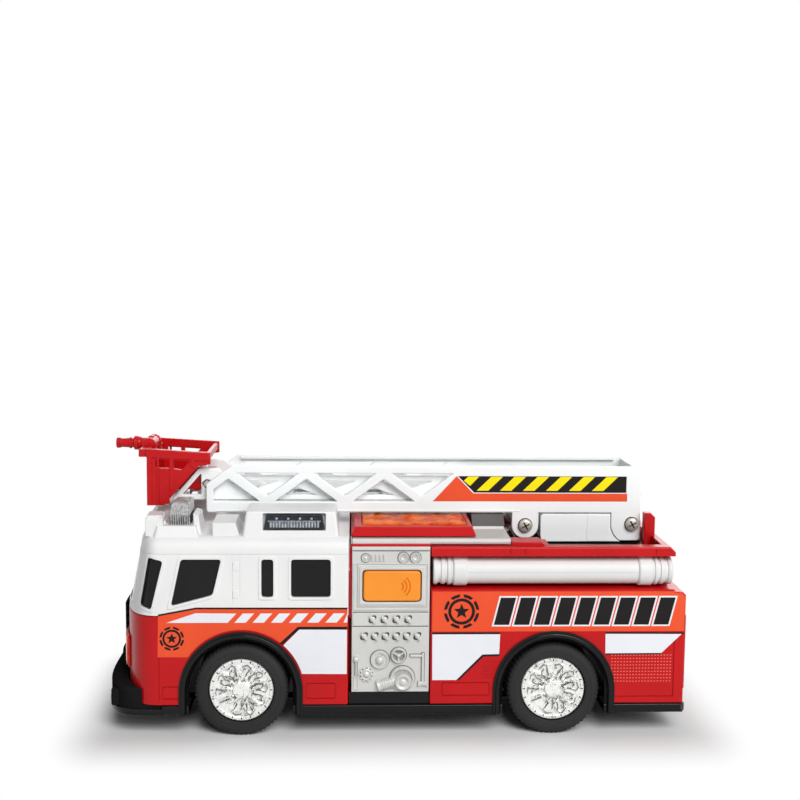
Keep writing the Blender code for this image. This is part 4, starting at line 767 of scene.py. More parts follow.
glass = {
    "door": ((-54.0, 46.3), (-43.9, 46.3), (-46.1, 37.1), (-56.6, 34.3)),
    "quarter": ((-62.2, 46.8), (-58.5, 45.9), (-61.6, 33.3), (-64.6, 34.1)),
    "narrowX": (-33.8, -30.8), "crewX": (-26.3, -16.3), "z": (36.6, 46.3), "round": 0.8, "recess": 0.4,
    "post": 1.4, "screenY": 20.5, "screenZ": (33.8, 46.6), "rim": 0.75, "rimProud": 0.22,
}


def cabLoft(shrink, bottomZ, roofZ, proud=0.0):  # belt line up over the shoulder to the roof
    shoulder, belt = cab["shoulder"], cab["belt"]
    topDepth = cab["noseDepth"] - cab["rake"]

    def depthAt(z):
        return cab["noseDepth"] - cab["rake"] * (z - belt) / (shoulder - belt)

    levels = [(bottomZ, 0, depthAt(bottomZ))]
    if proud:
        levels += [(cab["capZ"], 0, depthAt(cab["capZ"])), (cab["capZ"] + 0.2, -proud, depthAt(cab["capZ"]))]
    for i in range(11):
        turn = math.pi / 2 * i / 10
        height = shoulder + (roofZ - shoulder) * math.sin(turn)
        levels.append((height, cab["roofEdge"] * (1 - math.cos(turn)) - proud, topDepth))
    sections = []
    for z, drawn, depth in levels:
        sections.append([(x, y, z) for x, y in cabPlan(shrink + drawn, depth, cab["rearX"] - shrink)])
    return loft(sections)


def sideWindows(amount):
    shapes = [glass["door"], rect(glass["narrowX"], glass["z"]), rect(glass["crewX"], glass["z"])]
    return [rounded(grow(list(shape), amount), glass["round"]) for shape in shapes]


def cornerWindow(amount):
    return rounded(grow(list(glass["quarter"]), amount), glass["round"])


def screenPane(amount):  # left half of the windscreen, seen from the front
    shape = rect((-glass["screenY"], -glass["post"]), glass["screenZ"])
    return rounded(grow(shape, amount), glass["round"] + 0.6)


def windowSolids(amount):
    shapes = [plate("Y", -30, -23, loop) for loop in sideWindows(amount)]
    shapes.append(plate("Y", -30, -22.1, cornerWindow(amount)))
    shapes.append(plate("X", -73, -59, screenPane(amount)))
    return bothSides(*shapes)


def buildUpperCab():
    outer = cabLoft(0, cab["belt"] + 0.3, cab["roof"], cab["capProud"])
    foot, top = rect((-39.0, -14.0), (-26.1, -13.5)), rect((-38.0, -15.0), (-25.6, -14.0))
    steps = [(50.0, foot, 0.0), (57.6, top, 0.0), (58.0, top, 0.18), (58.2, top, 0.6)]
    pod = loft([[(x, y, z) for x, y in rounded(grow(loop, -inset), 0.9)] for z, loop, inset in steps])
    visor = noseLine(-59.0, 22.0, 5.4, 2.8, 40) + [(-58.5, 22.0), (-58.5, -22.0)]
    visor = [point for i, point in enumerate(visor) if i == 0 or point != visor[i - 1]]
    outer = solve(outer, bothSides(pod), "UNION")
    outer = solve(outer, plate("Z", 51.0, 55.0, visor, edge=0.4), "UNION")
    outer = solve(outer, cabLoft(cab["wall"], 29.0, cab["roof"] - cab["wall"]))
    outer = solve(outer, windowSolids(0))
    lampSeat = plate("Y", -29, -24.1, rounded(rect((-33.6, -17.6), (53.3, 57.7)), 0.3))
    outer = solve(outer, bothSides(lampSeat))
    seams = [plate("Y", -29, -27.8, rect((x - 0.14, x + 0.14), (34.4, 47.3))) for x in (-41.2, -39.3)]
    seams.append(plate("Y", -29, -27.88, rect((-28.3, -28.1), (34.4, 47.3))))
    outer = solve(outer, bothSides(*seams))
    rims = []
    for small, large in zip(sideWindows(0), sideWindows(glass["rim"])):
        rims.append(plate("Y", -cab["halfWidth"] - glass["rimProud"], -27.6, large, small, edge=0.12))
    skin = solve(cabLoft(-glass["rimProud"], 32.4, cab["roof"]), cabLoft(0.5, 30.0, cab["roof"] - 0.5))
    frames = [plate("Y", -30, -22.1, cornerWindow(0.6), cornerWindow(0)),
              plate("X", -73, -59, screenPane(0.7), screenPane(0))]
    for shape in frames:
        rims.append(solve(shape, skin, "INTERSECT"))
    parts = [outer, bothSides(*rims)]
    wedge = [(-51.4, 51.0), (-49.2, 51.0), (-50.1, 56.6), (-51.4, 57.0)]
    crate = [(-46.4, 51.0), (-39.4, 51.0), (-40.6, 55.0), (-46.4, 55.0)]
    parts.append(bothSides(plate("Y", -23.4, -14.6, wedge, edge=0.25),
                           plate("Y", -25.0, -13.4, crate, edge=0.3)))
    foot = [(-63.0, -21.5), (-61.2, -27.0), (-49.2, -27.2), (-49.2, -13.0), (-63.0, -13.0)]
    top = [(-61.8, -21.5), (-60.2, -25.2), (-50.6, -25.2), (-50.6, -13.5), (-61.8, -13.5)]
    seat = loft([[(x, y, z) for x, y in rounded(loop, 0.4, 3)] for z, loop in ((49.6, foot), (54.3, top))])
    corner = rounded(rect((-63.4, -58.9), (-24.6, -18.6)), 0.3, 3)
    corners = plate("Z", 51.4, 56.0, corner, edge=0.25), plate("Z", 55.8, 56.9, grow(corner, -0.6), edge=0.15)
    parts.append(bothSides(*corners))
    hinge = plate("Y", -28.16, -27.9, rounded(rect((-41.0, -39.5), (36.2, 38.4)), 0.3), edge=0.08)
    parts.append(bothSides(seat, hinge, placed(hinge, Matrix.Translation((0, 0, 7.2)))))
    assemble("upperCab", inFinish(cabWhite, *parts), "body", ["cab_shell"])
    shell = solve(cabLoft(glass["recess"], 32.6, 52.0), cabLoft(3.4, 30.0, 50.4))
    liner = solve(cabLoft(1.9, 33.1, 50.0), cabLoft(3.5, 30.0, 49.2))
    curved = gather(plate("Y", -30, -22.1, cornerWindow(-0.12)), plate("X", -73, -59, screenPane(-0.12)))
    panes = [plate("Y", glass["recess"] - cab["halfWidth"], -24.6, loop) for loop in sideWindows(-0.12)]
    panes = bothSides(solve(curved, shell, "INTERSECT"), *panes)
    assemble("cabWindows", inFinish(windowBlack, panes, liner), "body", ["cab_glazing"])


buildUpperCab()


# printed stickers on the two sides

prints = {"face": 28.0, "film": 0.06, "layer": 0.035, "archGap": 16.15,
          "axle": (chassis["axles"][0], chassis["axleZ"])}


def sticker(layer, *loops):
    proud = prints["film"] + prints["layer"] * layer
    return plate("Y", -prints["face"] - proud, -prints["face"] + 0.2, *loops)


def roundel(centre, radius, layer):  # plain ring badge with eight short rays round a star
    ringBand = sticker(layer, circle(centre, radius * 0.76), circle(centre, radius * 0.59))
    rays = []
    for i in range(8):
        turn = 45 * i
        rays.append(sticker(layer, arc(centre, radius, turn + 5, turn + 40, 6)
                            + arc(centre, radius * 0.83, turn + 36, turn + 9, 6)))
    star = []
    for i in range(10):
        reach = radius * (0.46 if i % 2 == 0 else 0.2)
        turn = math.radians(90 + 36 * i)
        star.append((centre[0] + reach * math.cos(turn), centre[1] + reach * math.sin(turn)))
    return gather(ringBand, sticker(layer, star), *rays)


def strip(layer, points, width):  # narrow printed line along a path, below its points
    low = [(x, z - width) for x, z in points]
    return sticker(layer, points + low[::-1])


def buildStickers():
    centre, reach = prints["axle"], prints["archGap"]
    overArch, aroundArch = arc(centre, reach, 128, 146, 4), arc(centre, reach, 52, 128, 16)
    orange, white, black = [], [], []
    orange.append(sticker(0, [(-59.8, 32.1), (-50.3, 33.9), (-12.0, 33.8), (-12.0, 28.9), (-24.5, 28.9),
                              (-29.0, 24.7)] + aroundArch + overArch[1:] + [(-60.0, 21.1)]))
    black.append(strip(1, [(-59.8, 32.15), (-50.3, 33.95), (-12.0, 33.85)], 0.42))
    white.append(sticker(1, [(-57.7, 30.0), (-50.4, 32.5), (-40.1, 32.4), (-42.3, 30.0)]))
    for i in range(7):
        x = -40.6 + 4.6 * i
        bar = [(x, 30.0), (x + 2.85, 30.0), (x + 4.95, 32.4), (x + 2.1, 32.4)]
        bar = [(min(u, -12.0), v) for u, v in bar]
        white.append(sticker(1, bar))
    lowArch = arc(centre, reach, 16.5, 48, 10)
    white.append(sticker(0, [(-12.1, 16.5), (-12.1, 28.2), (-24.2, 28.2), (-28.1, 24.2)] + lowArch[::-1]))
    black.append(sticker(1, [(-29.2, 24.6), (-24.6, 28.9), (-12.0, 28.85), (-12.0, 28.15), (-24.3, 28.2),
                             (-28.5, 24.2)]))
    black.append(roundel((-56.4, 25.9), 3.1, 1))
    orange.append(sticker(0, [(9.6, 27.55), (74.7, 27.55), (74.7, 36.7), (74.0, 37.4), (71.9, 37.6),
                              (71.7, 38.0), (9.6, 38.0)]))
    black.append(roundel((17.1, 32.8), 4.5, 1))
    for i in range(9):  # plain slanted blocks along the rear band
        x = 25.4 + 5.15 * i
        block = [(x, 29.3), (x + 3.9, 29.3), (x + 5.6, 36.4), (x + 1.7, 36.4)]
        white.append(sticker(1, grow(block, 0.42)))
        black.append(sticker(2, block))
    white.append(sticker(0, [(9.7, 26.9), (27.1, 26.9), (26.9, 21.5), (22.8, 21.2), (16.4, 14.8),
                             (9.8, 14.8)]))
    black.append(strip(1, [(9.7, 27.3), (27.1, 27.3)], 0.45))
    black.append(sticker(1, [(27.0, 21.6), (22.6, 21.5), (16.0, 14.8), (16.7, 14.8), (22.9, 21.0),
                             (27.0, 21.1)]))
    white.append(sticker(0, [(54.3, 27.0), (74.2, 26.9), (68.9, 21.7), (54.4, 21.6)]))
    black.append(strip(1, [(54.3, 27.3), (74.6, 27.2)], 0.42))
    black.append(strip(1, [(54.4, 21.7), (68.9, 21.75)], 0.3))
    parts = [(bothSides(*orange), printOrange), (bothSides(*white), printWhite),
             (bothSides(*black), printBlack)]
    assemble("sideStickers", parts, "body")


buildStickers()


# roof lamps, front trim and rear lamps

lamps = {
    "beaconX": (-57.5, -52.2), "beaconY": (14.2, 23.8), "beaconZ": 54.1, "beaconHeight": 5.9,
    "draft": 0.45, "lean": 0.35, "ribPitch": 0.55, "ribDepth": 0.16, "sideX": (-33.3, -17.9),
    "sideZ": (53.6, 57.4), "sideY": 25.9,
    "grilleHalf": 10.5, "grilleZ": (17.0, 30.6), "headY": (12.0, 20.5), "headZ": (16.0, 24.5),
    "trim": 1.5, "rearY": (19.0, 25.0), "rearZ": (11.0, 31.0), "rearX": (75.3, 76.0),
}


def fluted(loop, pitch, depth):  # outline with even ribs all round
    loop = anticlockwise(loop)
    points = []
    for a, b in zip(loop, loop[1:] + loop[:1]):
        a, b = Vector(a), Vector(b)
        count = max(2, 2 * round((b - a).length / pitch))
        normal = Vector(((b - a).y, -(b - a).x)).normalized()
        for i in range(count):
            sink = 0.0 if i == 0 else depth * (0.0 if i % 2 else 1.0)
            points.append(tuple(a + (b - a) * i / count - normal * sink))
    return points


def frontSkin(y, z, inset=0.0, proud=0.0, steps=24):  # plate that follows the bowed nose
    def at(depth, across):
        half = cab["halfWidth"] + 0.3
        ratio = min(abs(across) / half, 1)
        return cab["noseX"] - depth * max(0.0, 1 - ratio ** cab["power"]) ** (1 / cab["power"])
    across = [y[0] + inset + (y[1] - y[0] - 2 * inset) * i / steps for i in range(steps + 1)]
    back = [(at(cab["noseDepth"] + 0.1, a), a) for a in across]
    front = [(at(cab["noseDepth"] + 0.3 + lamps["trim"] + proud, a), a) for a in across]
    return plate("Z", z[0] + inset, z[1] - inset, back + front[::-1], edge=0.15)


def buildBeacons():
    (x0, x1), low, height = lamps["beaconX"], lamps["beaconZ"], lamps["beaconHeight"]
    y0, y1 = -lamps["beaconY"][1], -lamps["beaconY"][0]
    midX, midY = (x0 + x1) / 2, (y0 + y1) / 2
    ribs = fluted(rect((x0, x1), (y0, y1)), lamps["ribPitch"], lamps["ribDepth"])
    sections = []
    for part, extra in ((0.0, 0.0), (0.9, 0.0), (0.97, 0.25), (1.0, 0.7)):
        inset = lamps["draft"] * part + extra
        scaleX, scaleY = 1 - 2 * inset / (x1 - x0), 1 - 2 * inset / (y1 - y0)
        shift, z = midX + lamps["lean"] * part, low + height * part
        sections.append([(shift + (u - midX) * scaleX, midY + (v - midY) * scaleY, z) for u, v in ribs])
    streak = [(-0.13, 0), (0.13, 0), (0.09, 1.4), (0.02, 2.7), (-0.02, 2.7), (-0.09, 1.4)]
    front, flank = plate("Y", y0 - 0.03, y0 + 0.3, streak), plate("X", x1 - 0.3, x1 + 0.03, streak)
    front = rows(front, clearStreak, (x0 + 0.35, 0, low + 0.02), 9, (0.575, 0, 0))
    flank = rows(flank, clearStreak, (0, y0 + 0.6, low + 0.02), 15, (0, 0.58, 0))
    parts = [(loft(sections), clearLens)] + inFinish(clearStreak, front, flank)
    assemblePair("beacon", parts, "body", "beacon_lens", sharp=25)


def buildSideLamps():
    (x0, x1), (z0, z1), face = lamps["sideX"], lamps["sideZ"], -lamps["sideY"]
    outline = [(x0, z0), (x1, z0), (x1 - 0.6, z1), (x0 + 0.6, z1)]
    inner = [(x0 + 0.7, z0 + 0.4), (x1 - 0.7, z0 + 0.4), (x1 - 1.1, z1 - 0.45), (x0 + 1.1, z1 - 0.45)]
    shade = plate("Y", face, face + 1.4, outline, inner, edge=0.12)
    pane = plate("Y", face + 0.35, face + 1.4, inner)
    # painted reflections: the flutes are light grey for the light that the lens ribs reflect; the bar and
    # beads share that finish
    flute = lathe([(0, z0 + 0.45), (0.3, z0 + 0.45), (0.3, z0 + 1.75), (0, z0 + 1.95)], 8)
    flutes = rows(flute, smokedLens, (x0 + 1.7, face + 0.35, 0), 17, (0.75, 0, 0))
    bar = plate("Y", face + 0.2, face + 0.6, rect((x0 + 1.0, x1 - 1.0), (z0 + 1.95, z0 + 2.15)), edge=0.05)
    bead = lathe([(0.0, 0.0), (0.34, 0.0), (0.3, 0.14), (0.12, 0.24), (0, 0.26)], 10, outward(-1, 0, 0, 0))
    beads = rows(bead, smokedLens, (x0 + 3.2, face + 0.36, z0 + 2.7), 4, (2.95, 0, 0))
    parts = inFinish(smokedLens, shade, pane) + inFinish(smokedRibPaintedGlare, flutes, bar, beads)
    assemblePair("sideLamp", parts, "body", "side_light_lens")


def buildFrontAndRear():
    headY = (-lamps["headY"][1], -lamps["headY"][0])
    parts = [(frontSkin(headY, lamps["headZ"], 0.5, -0.7), amberMarker)]
    parts.append((frontSkin(headY, lamps["headZ"], 0.0, -1.2), redPlastic))
    assemblePair("headlamp", parts, "body", "headlamp")
    (x0, x1), (z0, z1) = lamps["rearX"], lamps["rearZ"]
    y0, y1 = -lamps["rearY"][1], -lamps["rearY"][0]
    rim, hole = rect((y0, y1), (z0, z1)), rect((y0 + 0.6, y1 - 0.6), (z0 + 0.6, z1 - 0.6))
    rim = plate("X", x0, x1, rounded(rim, 0.8), rounded(hole, 0.6), edge=0.15)
    bar = [(x0, 0), (x0 + 0.45, 0.15), (x0 + 0.55, 0.6), (x0 + 0.45, 1.1), (x0, 1.2)]
    bars = rows(plate("Y", y0 + 0.5, y1 - 0.5, bar), redLens, (0, 0, z0 + 0.7), 15, (0, 0, 1.24))
    assemblePair("rearLamp", inFinish(redLens, rim, bars), "body", "rear_lamp")
    half, (low, high) = lamps["grilleHalf"], lamps["grilleZ"]
    across = (-half, half)
    back = frontSkin(across, (low, high), 0.0, -1.2)
    slats = rows(frontSkin(across, (0, 1.0), 0.0, -0.55), blackPlastic, (0, 0, low + 1.1), 6, (0, 0, 2.08))
    bars = [frontSkin(across, z, 0.0, -0.4) for z in ((low, low + 0.8), (high - 0.8, high))]
    for y in (0.6 - half, 0.0, half - 0.6):
        bars.append(frontSkin((y - 0.6, y + 0.6), (low, high), 0.0, -0.4, 6))
    parts = [(back, windowBlack), (slats, blackPlastic), (gather(*bars), guardBlack)]
    assemble("grilleSlats", parts, "body", ["grille"])


buildBeacons()
buildSideLamps()
buildFrontAndRear()


# silver pump module with its low relief, and the button

pump = {
    "face": 27.9, "knobX": (-5.6, 3.03), "knobZ": 30.9,
    "lowKnobX": (-7.7, 2.72), "lowKnobZ": 26.4, "dial": (-3.7, 20.3), "valve": (1.1, 21.4),
    "cog": (-7.1, 16.4), "outlet": (2.1, 15.4), "gauges": ((2.1, 46.8), (5.2, 46.8)), "cap": (-7.5, 46.7),
    "lever": (-9.75, 20.4), "boost": 1.3,
}


def onPanel(place):
    return outward(-1, place[0], -pump["face"], place[1])


def onPump(place, steps, *profile):  # turned piece, from its middle out and down into the panel
    return lathe([*profile, (0, profile[-1][1])], steps, onPanel(place))


def buildPaintedReliefShade():  # painted shade: thin dark rings, lines and crescents round the raised pieces, standing for the shade at their edges and under the knobs
    discs = [(place, 1.52) for place in pump["gauges"]]
    discs += [(pump["cap"], 1.22), (pump["dial"], 2.56), (pump["valve"], 2.2), (pump["cog"], 1.66),
              (pump["outlet"], 3.36)]
    paintedShade = [onPump(place, 32, (0, 0.05), (radius, 0.05), (radius, -0.2)) for place, radius in discs]
    leaf = [(1.05, 0.45), (0.85, 1.0), (0.1, 1.0), (-0.75, 0.3), (-1.15, -0.6), (-0.7, -1.1), (0.2, -0.95)]
    shadow = placed(plate("Z", -0.2, 0.0, rounded(leaf, 0.3, 3)), onPanel((0, 0)))
    for (start, step), z, count, lift in ((pump["knobX"], pump["knobZ"], 4, 0.31),
                                          (pump["lowKnobX"], pump["lowKnobZ"], 6, 0.05)):
        paintedShade.append(rows(shadow, silverPaintedShade, (start, -lift, z), count, (step, 0, 0)))
    bars = [((3.86, 7.7), (20.82, 21.74)), ((6.86, 7.8), (14.0, 22.14)), ((-10.1, -9.4), (15.9, 20.3))]
    loops = [rounded(rect(x, z), 0.3) for x, z in bars]
    loops += [rect((-10.7, 8.7), (z - 0.09, z + 0.09)) for z in (28.95, 32.65, 48.55)]
    front = -pump["face"] - 0.05
    return paintedShade + [plate("Y", front, front + 0.25, loop) for loop in loops]


def flatRelief():
    face = -pump["face"]
    fork = [(6.2, 14.8), (6.0, 13.2), (6.9, 13.5), (7.8, 13.5), (8.6, 13.2), (8.4, 14.8), (7.8, 14.5),
            (6.9, 14.5)]
    shapes = (  # proud of the panel, sunk into it, edge, then outline and hole
        (0.35, 0.3, 0.15, rect((-10.9, 8.9), (48.7, 49.6))),
        (0.2, 0.2, 0.1, rect((-10.6, 8.6), (29.1, 32.5))),
        (0.55, 0, 0.1, rounded(rect((-9.0, 7.5), (34.7, 44.5)), 0.3),
         rounded(rect((-8.3, 6.8), (35.4, 43.8)), 1.2)),
        (0.22, 0.2, 0.08, rect((-10.6, 8.6), (33.2, 45.4)), rect((-10.0, 8.2), (33.7, 45.1))),
        (0.4, 0.2, 0.15, rounded(rect((4.0, 7.6), (20.95, 21.6)), 0.25)),
        (0.45, 0.2, 0.15, rounded(rect((7.0, 7.65), (14.2, 22.0)), 0.25)),
        (0.55, 0.2, 0.15, fork),
        (0.22, 0.2, 0.08, rounded(rect((-10.4, -9.1), (12.4, 21.4)), 0.5),
         rounded(rect((-10.1, -9.4), (12.7, 21.1)), 0.3)),
        (0.6, 0.2, 0.12, rounded(rect((-9.95, -9.55), (16.0, 20.2)), 0.15)),
    )
    return [plate("Y", face - proud, face + sunk, *loops, edge=edge) for proud, sunk, edge, *loops in shapes]


def turnedRelief():
    outletX, outletZ = pump["outlet"]
    gauge = ((0, 0.12), (0.62, 0.12), (0.62, 0.24), (0.85, 0.24), (0.85, 0.1), (1.02, 0.1), (1.02, 0.4),
             (1.3, 0.4), (1.38, 0.0), (1.38, -0.2))
    shapes = (
        (pump["cap"], 32, (0, 0.3), (0.5, 0.3), (0.62, 0.12), (0.8, 0.12), (0.8, 0.3), (1.0, 0.3),
         (1.08, 0.0), (1.08, -0.2)),
        (pump["dial"], 40, (0, 1.25), (0.5, 1.2), (0.95, 0.9), (1.1, 0.5), (1.2, 0.35), (1.75, 0.35),
         (1.85, 0.6), (2.25, 0.6), (2.4, 0.3), (2.4, -0.2)),
        (pump["valve"], 20, (0, 0.75), (0.35, 0.72), (0.5, 0.5), (0.52, -0.2)),
        (pump["cog"], 32, (0, 0.62), (0.5, 0.62), (0.62, 0.45), (0.85, 0.45), (0.85, 0.3), (1.15, 0.3),
         (1.25, 0.5), (1.45, 0.4), (1.5, -0.2)),
        (pump["outlet"], 48, (0, 0.5), (2.5, 0.5), (2.6, 0.85), (3.0, 0.85), (3.2, 0.6), (3.2, -0.2)),
        ((outletX + 0.1, outletZ - 0.7), 40, (0, 1.5), (0.8, 1.5), (0.95, 1.3), (1.3, 1.3), (1.45, 1.55),
         (1.85, 1.55), (2.15, 1.25), (2.15, 0.0)),
        (pump["lever"], 20, (0, 0.9), (0.5, 0.8), (0.72, 0.5), (0.72, -0.2)),
    )
    return [onPump(place, 32, *gauge) for place in pump["gauges"]] + [onPump(*shape) for shape in shapes]


def buildPump():
    face = -pump["face"]
    shell = soften(cadCopy("pump_module"), 0.16)
    relief = flatRelief() + turnedRelief()
    bar = plate("Y", face - 0.3, face + 0.2, rounded(rect((-0.28, 0.28), (45.9, 47.6)), 0.2), edge=0.12)
    relief.append(rows(bar, silverPlastic, (-5.7, 0, 0), 4, (1.0, 0, 0)))
    grip = plate("Z", 0.1, 0.72, rounded(rect((-0.34, 0.34), (-1.15, 1.15)), 0.3), edge=0.12)
    grip = placed(grip, Matrix.Rotation(math.radians(40), 4, "Z"))
    base = lathe([(0, 0.5), (0.55, 0.5), (0.68, 0.35), (0.7, -0.2), (0, -0.2)], 20)
    tip = lathe([(0, 0.8), (0.25, 0.75), (0.3, 0.4), (0, 0.4)], 10)
    knob = placed(gather(base, grip, tip), onPanel((0, 0)))
    for (start, step), z, count, lift in ((pump["knobX"], pump["knobZ"], 4, 0.15),
                                          (pump["lowKnobX"], pump["lowKnobZ"], 6, 0)):
        relief.append(rows(knob, silverPlastic, (start, -lift, z), count, (step, 0, 0)))
    pointer = plate("Z", 0.3, 0.95, rounded(rect((-0.3, 0.3), (-1.5, 0.9)), 0.25), edge=0.12)
    relief.append(placed(pointer, onPanel(pump["dial"]) @ Matrix.Rotation(math.radians(150), 4, "Z")))
    relief.append(lathe([(1.45, 0.1), (1.5, 0.6), (1.72, 0.78), (1.95, 0.6), (2.05, 0.1), (2.05, -0.2),
                         (1.45, -0.2), (1.45, 0.1)], 40, onPanel(pump["valve"])))
    spoke = plate("Z", 0.05, 0.5, rounded(rect((-0.1, 1.6), (-0.24, 0.24)), 0.2), edge=0.1)
    spoke.transform(Matrix.Translation((-0.1, 0, 0)))
    spin = Matrix.Rotation(0.52, 4, "Z")
    relief.append(ring(spoke, silverPlastic, 3, 0.1, onPanel(pump["valve"]) @ spin))
    tooth = plate("Z", -0.2, 0.38, rounded(rect((-0.25, 0.4), (-0.3, 0.3)), 0.12), edge=0.08)
    relief.append(ring(tooth, silverPlastic, 10, 1.5, onPanel(pump["cog"])))
    hose = lathe([(0, 0), (1.35, 0), (1.35, 5.2), (1.55, 5.3), (1.55, 6.0), (1.35, 6.1), (0, 6.1)], 24)
    wrap = lathe([(1.3, -0.18), (1.52, -0.1), (1.52, 0.1), (1.3, 0.18), (1.3, -0.18)], 24)
    hose = gather(hose, rows(wrap, silverPlastic, (0, 0, 2.0), 6, (0, 0, 0.62)))
    lean = Matrix.Translation((1.6, face - 0.1, 15.0)) @ Matrix.Rotation(math.radians(-106), 4, "Y")
    relief.append(placed(hose, lean @ Matrix.Diagonal((1, 0.75, 1, 1))))
    boost = Matrix.Scale(pump["boost"], 4, (0, 1, 0))
    boost = Matrix.Translation((0, face, 0)) @ boost @ Matrix.Translation((0, -face, 0))
    parts = inFinish(silverPlastic, shell, bothSides(placed(gather(*relief), boost)))
    parts.append((bothSides(*buildPaintedReliefShade()), silverPaintedShade))
    lip = plate("Y", -26.2, 26.2, rect((-10.8, 29.6), (50.1, 50.8)), edge=0.2)
    seam = plate("Y", -27.4, 27.4, rect((-11.0, 9.0), (49.4, 50.15)), edge=0.1)
    # painted shade: a mid-grey disc inside the valve wheel's ring
    valveShade = onPump(pump["valve"], 32, (0, 0.17), (1.5, 0.17), (1.5, -0.2))
    parts += [(lip, silverPlastic), (seam, redPlastic), (bothSides(valveShade), silverPaintedHalfShade)]
    slopes = ((52.10, 13.75), (54.67, 11.30))  # painted shade on the ramp behind the tray, where the ladder shades it
    ramp = [[(x, y, z) for x, y in rect((20.95, 29.55), (-half, half))] for z, half in slopes]
    parts.append((loft(ramp), silverPaintedShade))
    assemble("pumpModule", parts, "body", ["pump_module"])


buildPump()

button = {"x": (-8.0, 6.5), "z": (35.7, 43.5), "round": 1.2, "front": -28.9, "back": -25.9,
          "arcs": (1.1, 2.0, 2.9)}


def buildButton():
    loop = rounded(rect(button["x"], button["z"]), button["round"], 6)
    cap = plate("Y", button["front"], button["back"], loop, edge=0.45, steps=4)
    flange = plate("Y", -26.0, -25.3, rect((-9.2, 7.7), (34.5, 44.7)), edge=0.1)
    parts = [(cap, orangePlastic), (flange, orangePlastic)]
    centre = (0.9, 39.6)
    for radius in button["arcs"]:
        band = arc(centre, radius + 0.28, -48, 48, 14) + arc(centre, radius - 0.1, 48, -48, 14)
        parts.append((plate("Y", button["front"] - 0.1, button["front"] + 0.3, band, edge=0.06), orangeShade))
    assemble("soundButton", parts, "button", ["sound_button"])


buildButton()


# deck light: red tray and cast amber lens

deckLight = {"x": (-8.2, 18.6), "half": 22.2, "bottom": 51.5, "top": 54.5, "wave": 0.34, "cells": (96, 120),
             "tray": ((-11.2, 20.8), 24.8, 54.1)}


def buildDeckLight():
    (x0, x1), half, top = deckLight["tray"]
    bottom = deckLight["bottom"]
    outline = [(x0, bottom), (x1, bottom), (x1, bottom + 0.4), (x1 - 0.9, top), (x0 + 0.9, top),
               (x0, bottom + 0.4)]
    tray = plate("Y", -half, half, outline, edge=0.2)
    tray = solve(tray, box((-8.5, 18.9), (-22.5, 22.5), (50, 56)))
    assemble("lightTray", [(tray, redPlastic)], "body", ["light_tray"])
    columns, lines = deckLight["cells"]
    (x0, x1), half = deckLight["x"], deckLight["half"]
    bm = bmesh.new()
    grid = []
    for i in range(columns + 1):
        line = []
        for j in range(lines + 1):
            x, y = x0 + (x1 - x0) * i / columns, -half + 2 * half * j / lines
            rim = min(i, columns - i, j, lines - j)
            swirl = noise.noise(Vector((x * 0.22, y * 0.16, 3.7)))
            swirl += 0.5 * noise.noise(Vector((x * 0.5, y * 0.4, 9.1)))
            bulge = abs(math.sin(x * 0.42)) * 0.35
            height = deckLight["top"] - 0.45 + deckLight["wave"] * (swirl + bulge)
            height = min(height, deckLight["top"] - 0.02)
            if rim < 2:
                height = deckLight["top"] - (0.0 if rim == 1 else 0.2)
            line.append(bm.verts.new((x, y, height)))
        grid.append(line)
    for a, b in zip(grid, grid[1:]):
        for j in range(lines):
            bm.faces.new((a[j], b[j], b[j + 1], a[j + 1]))
    border = [edge for edge in bm.edges if edge.is_boundary]
    wall = bmesh.ops.extrude_edge_only(bm, edges=border)
    lowest = [v for v in wall["geom"] if isinstance(v, bmesh.types.BMVert)]
    for vert in lowest:
        vert.co.z = deckLight["bottom"]
    bmesh.ops.contextual_create(bm, geom=[e for e in bm.edges if e.is_boundary])
    dome = settle(bm)
    ledge = plate("Z", 53.2, 54.0, rounded(rect((-8.3, 18.7), (-22.3, 22.3)), 0.3),
                  rounded(rect((-7.6, 18.0), (-21.6, 21.6)), 0.3), edge=0.15)
    assemble("deckLens", inFinish(amberLens, dome, ledge), "body", ["deck_light_lens"],
             sharp=50)


buildDeckLight()


# hose tubes along the rear body

hoses = {"x": (9.8, 71.4), "y": 24.5, "z": 42.8, "r": 3.5, "ringR": 3.3, "collarR": 4.0}


def buildHoses():
    start, end = hoses["x"]
    r, ringR, collarR = hoses["r"], hoses["ringR"], hoses["collarR"]
    half = [(0, 0), (3.45, 0), (3.7, 0.25), (3.7, 0.9), (3.55, 1.15), (ringR, 1.25), (ringR, 1.9),
            (ringR + 0.35, 2.1), (ringR + 0.35, 3.0), (ringR, 3.2), (ringR, 3.5), (ringR + 0.5, 3.75),
            (ringR + 0.5, 4.5), (ringR + 0.1, 4.75), (ringR + 0.1, 5.0), (collarR - 0.25, 5.1),
            (collarR, 5.35), (collarR, 8.4), (collarR - 0.25, 8.75), (r, 8.85)]
    profile = [(radius, start + d) for radius, d in half] + [(radius, end - d) for radius, d in half[::-1]]
    turn = Matrix.Rotation(math.pi / 2, 4, "Y")
    for side, name in ((-1, "left"), (1, "right")):
        place = Matrix.Translation((0, side * hoses["y"], hoses["z"]))
        tube = lathe(profile, 56, place @ turn)
        face = side * 28.03
        seam = rect((18.7, 62.5), (face - 0.08, face + 0.02))
        seam = plate("Z", hoses["z"] + 0.12, hoses["z"] + 0.26, seam)
        assemble("hose" + name.title(), inFinish(hoseWhite, tube, seam), "body",
                 ["hose_" + name])


buildHoses()


# white ladder housing on its dark plate

turret = {"x": (39.7, 58.6), "half": 10.8, "foot": 47.1, "top": 54.6, "pivot": (64.3, 52.0), "lugR": 3.1}


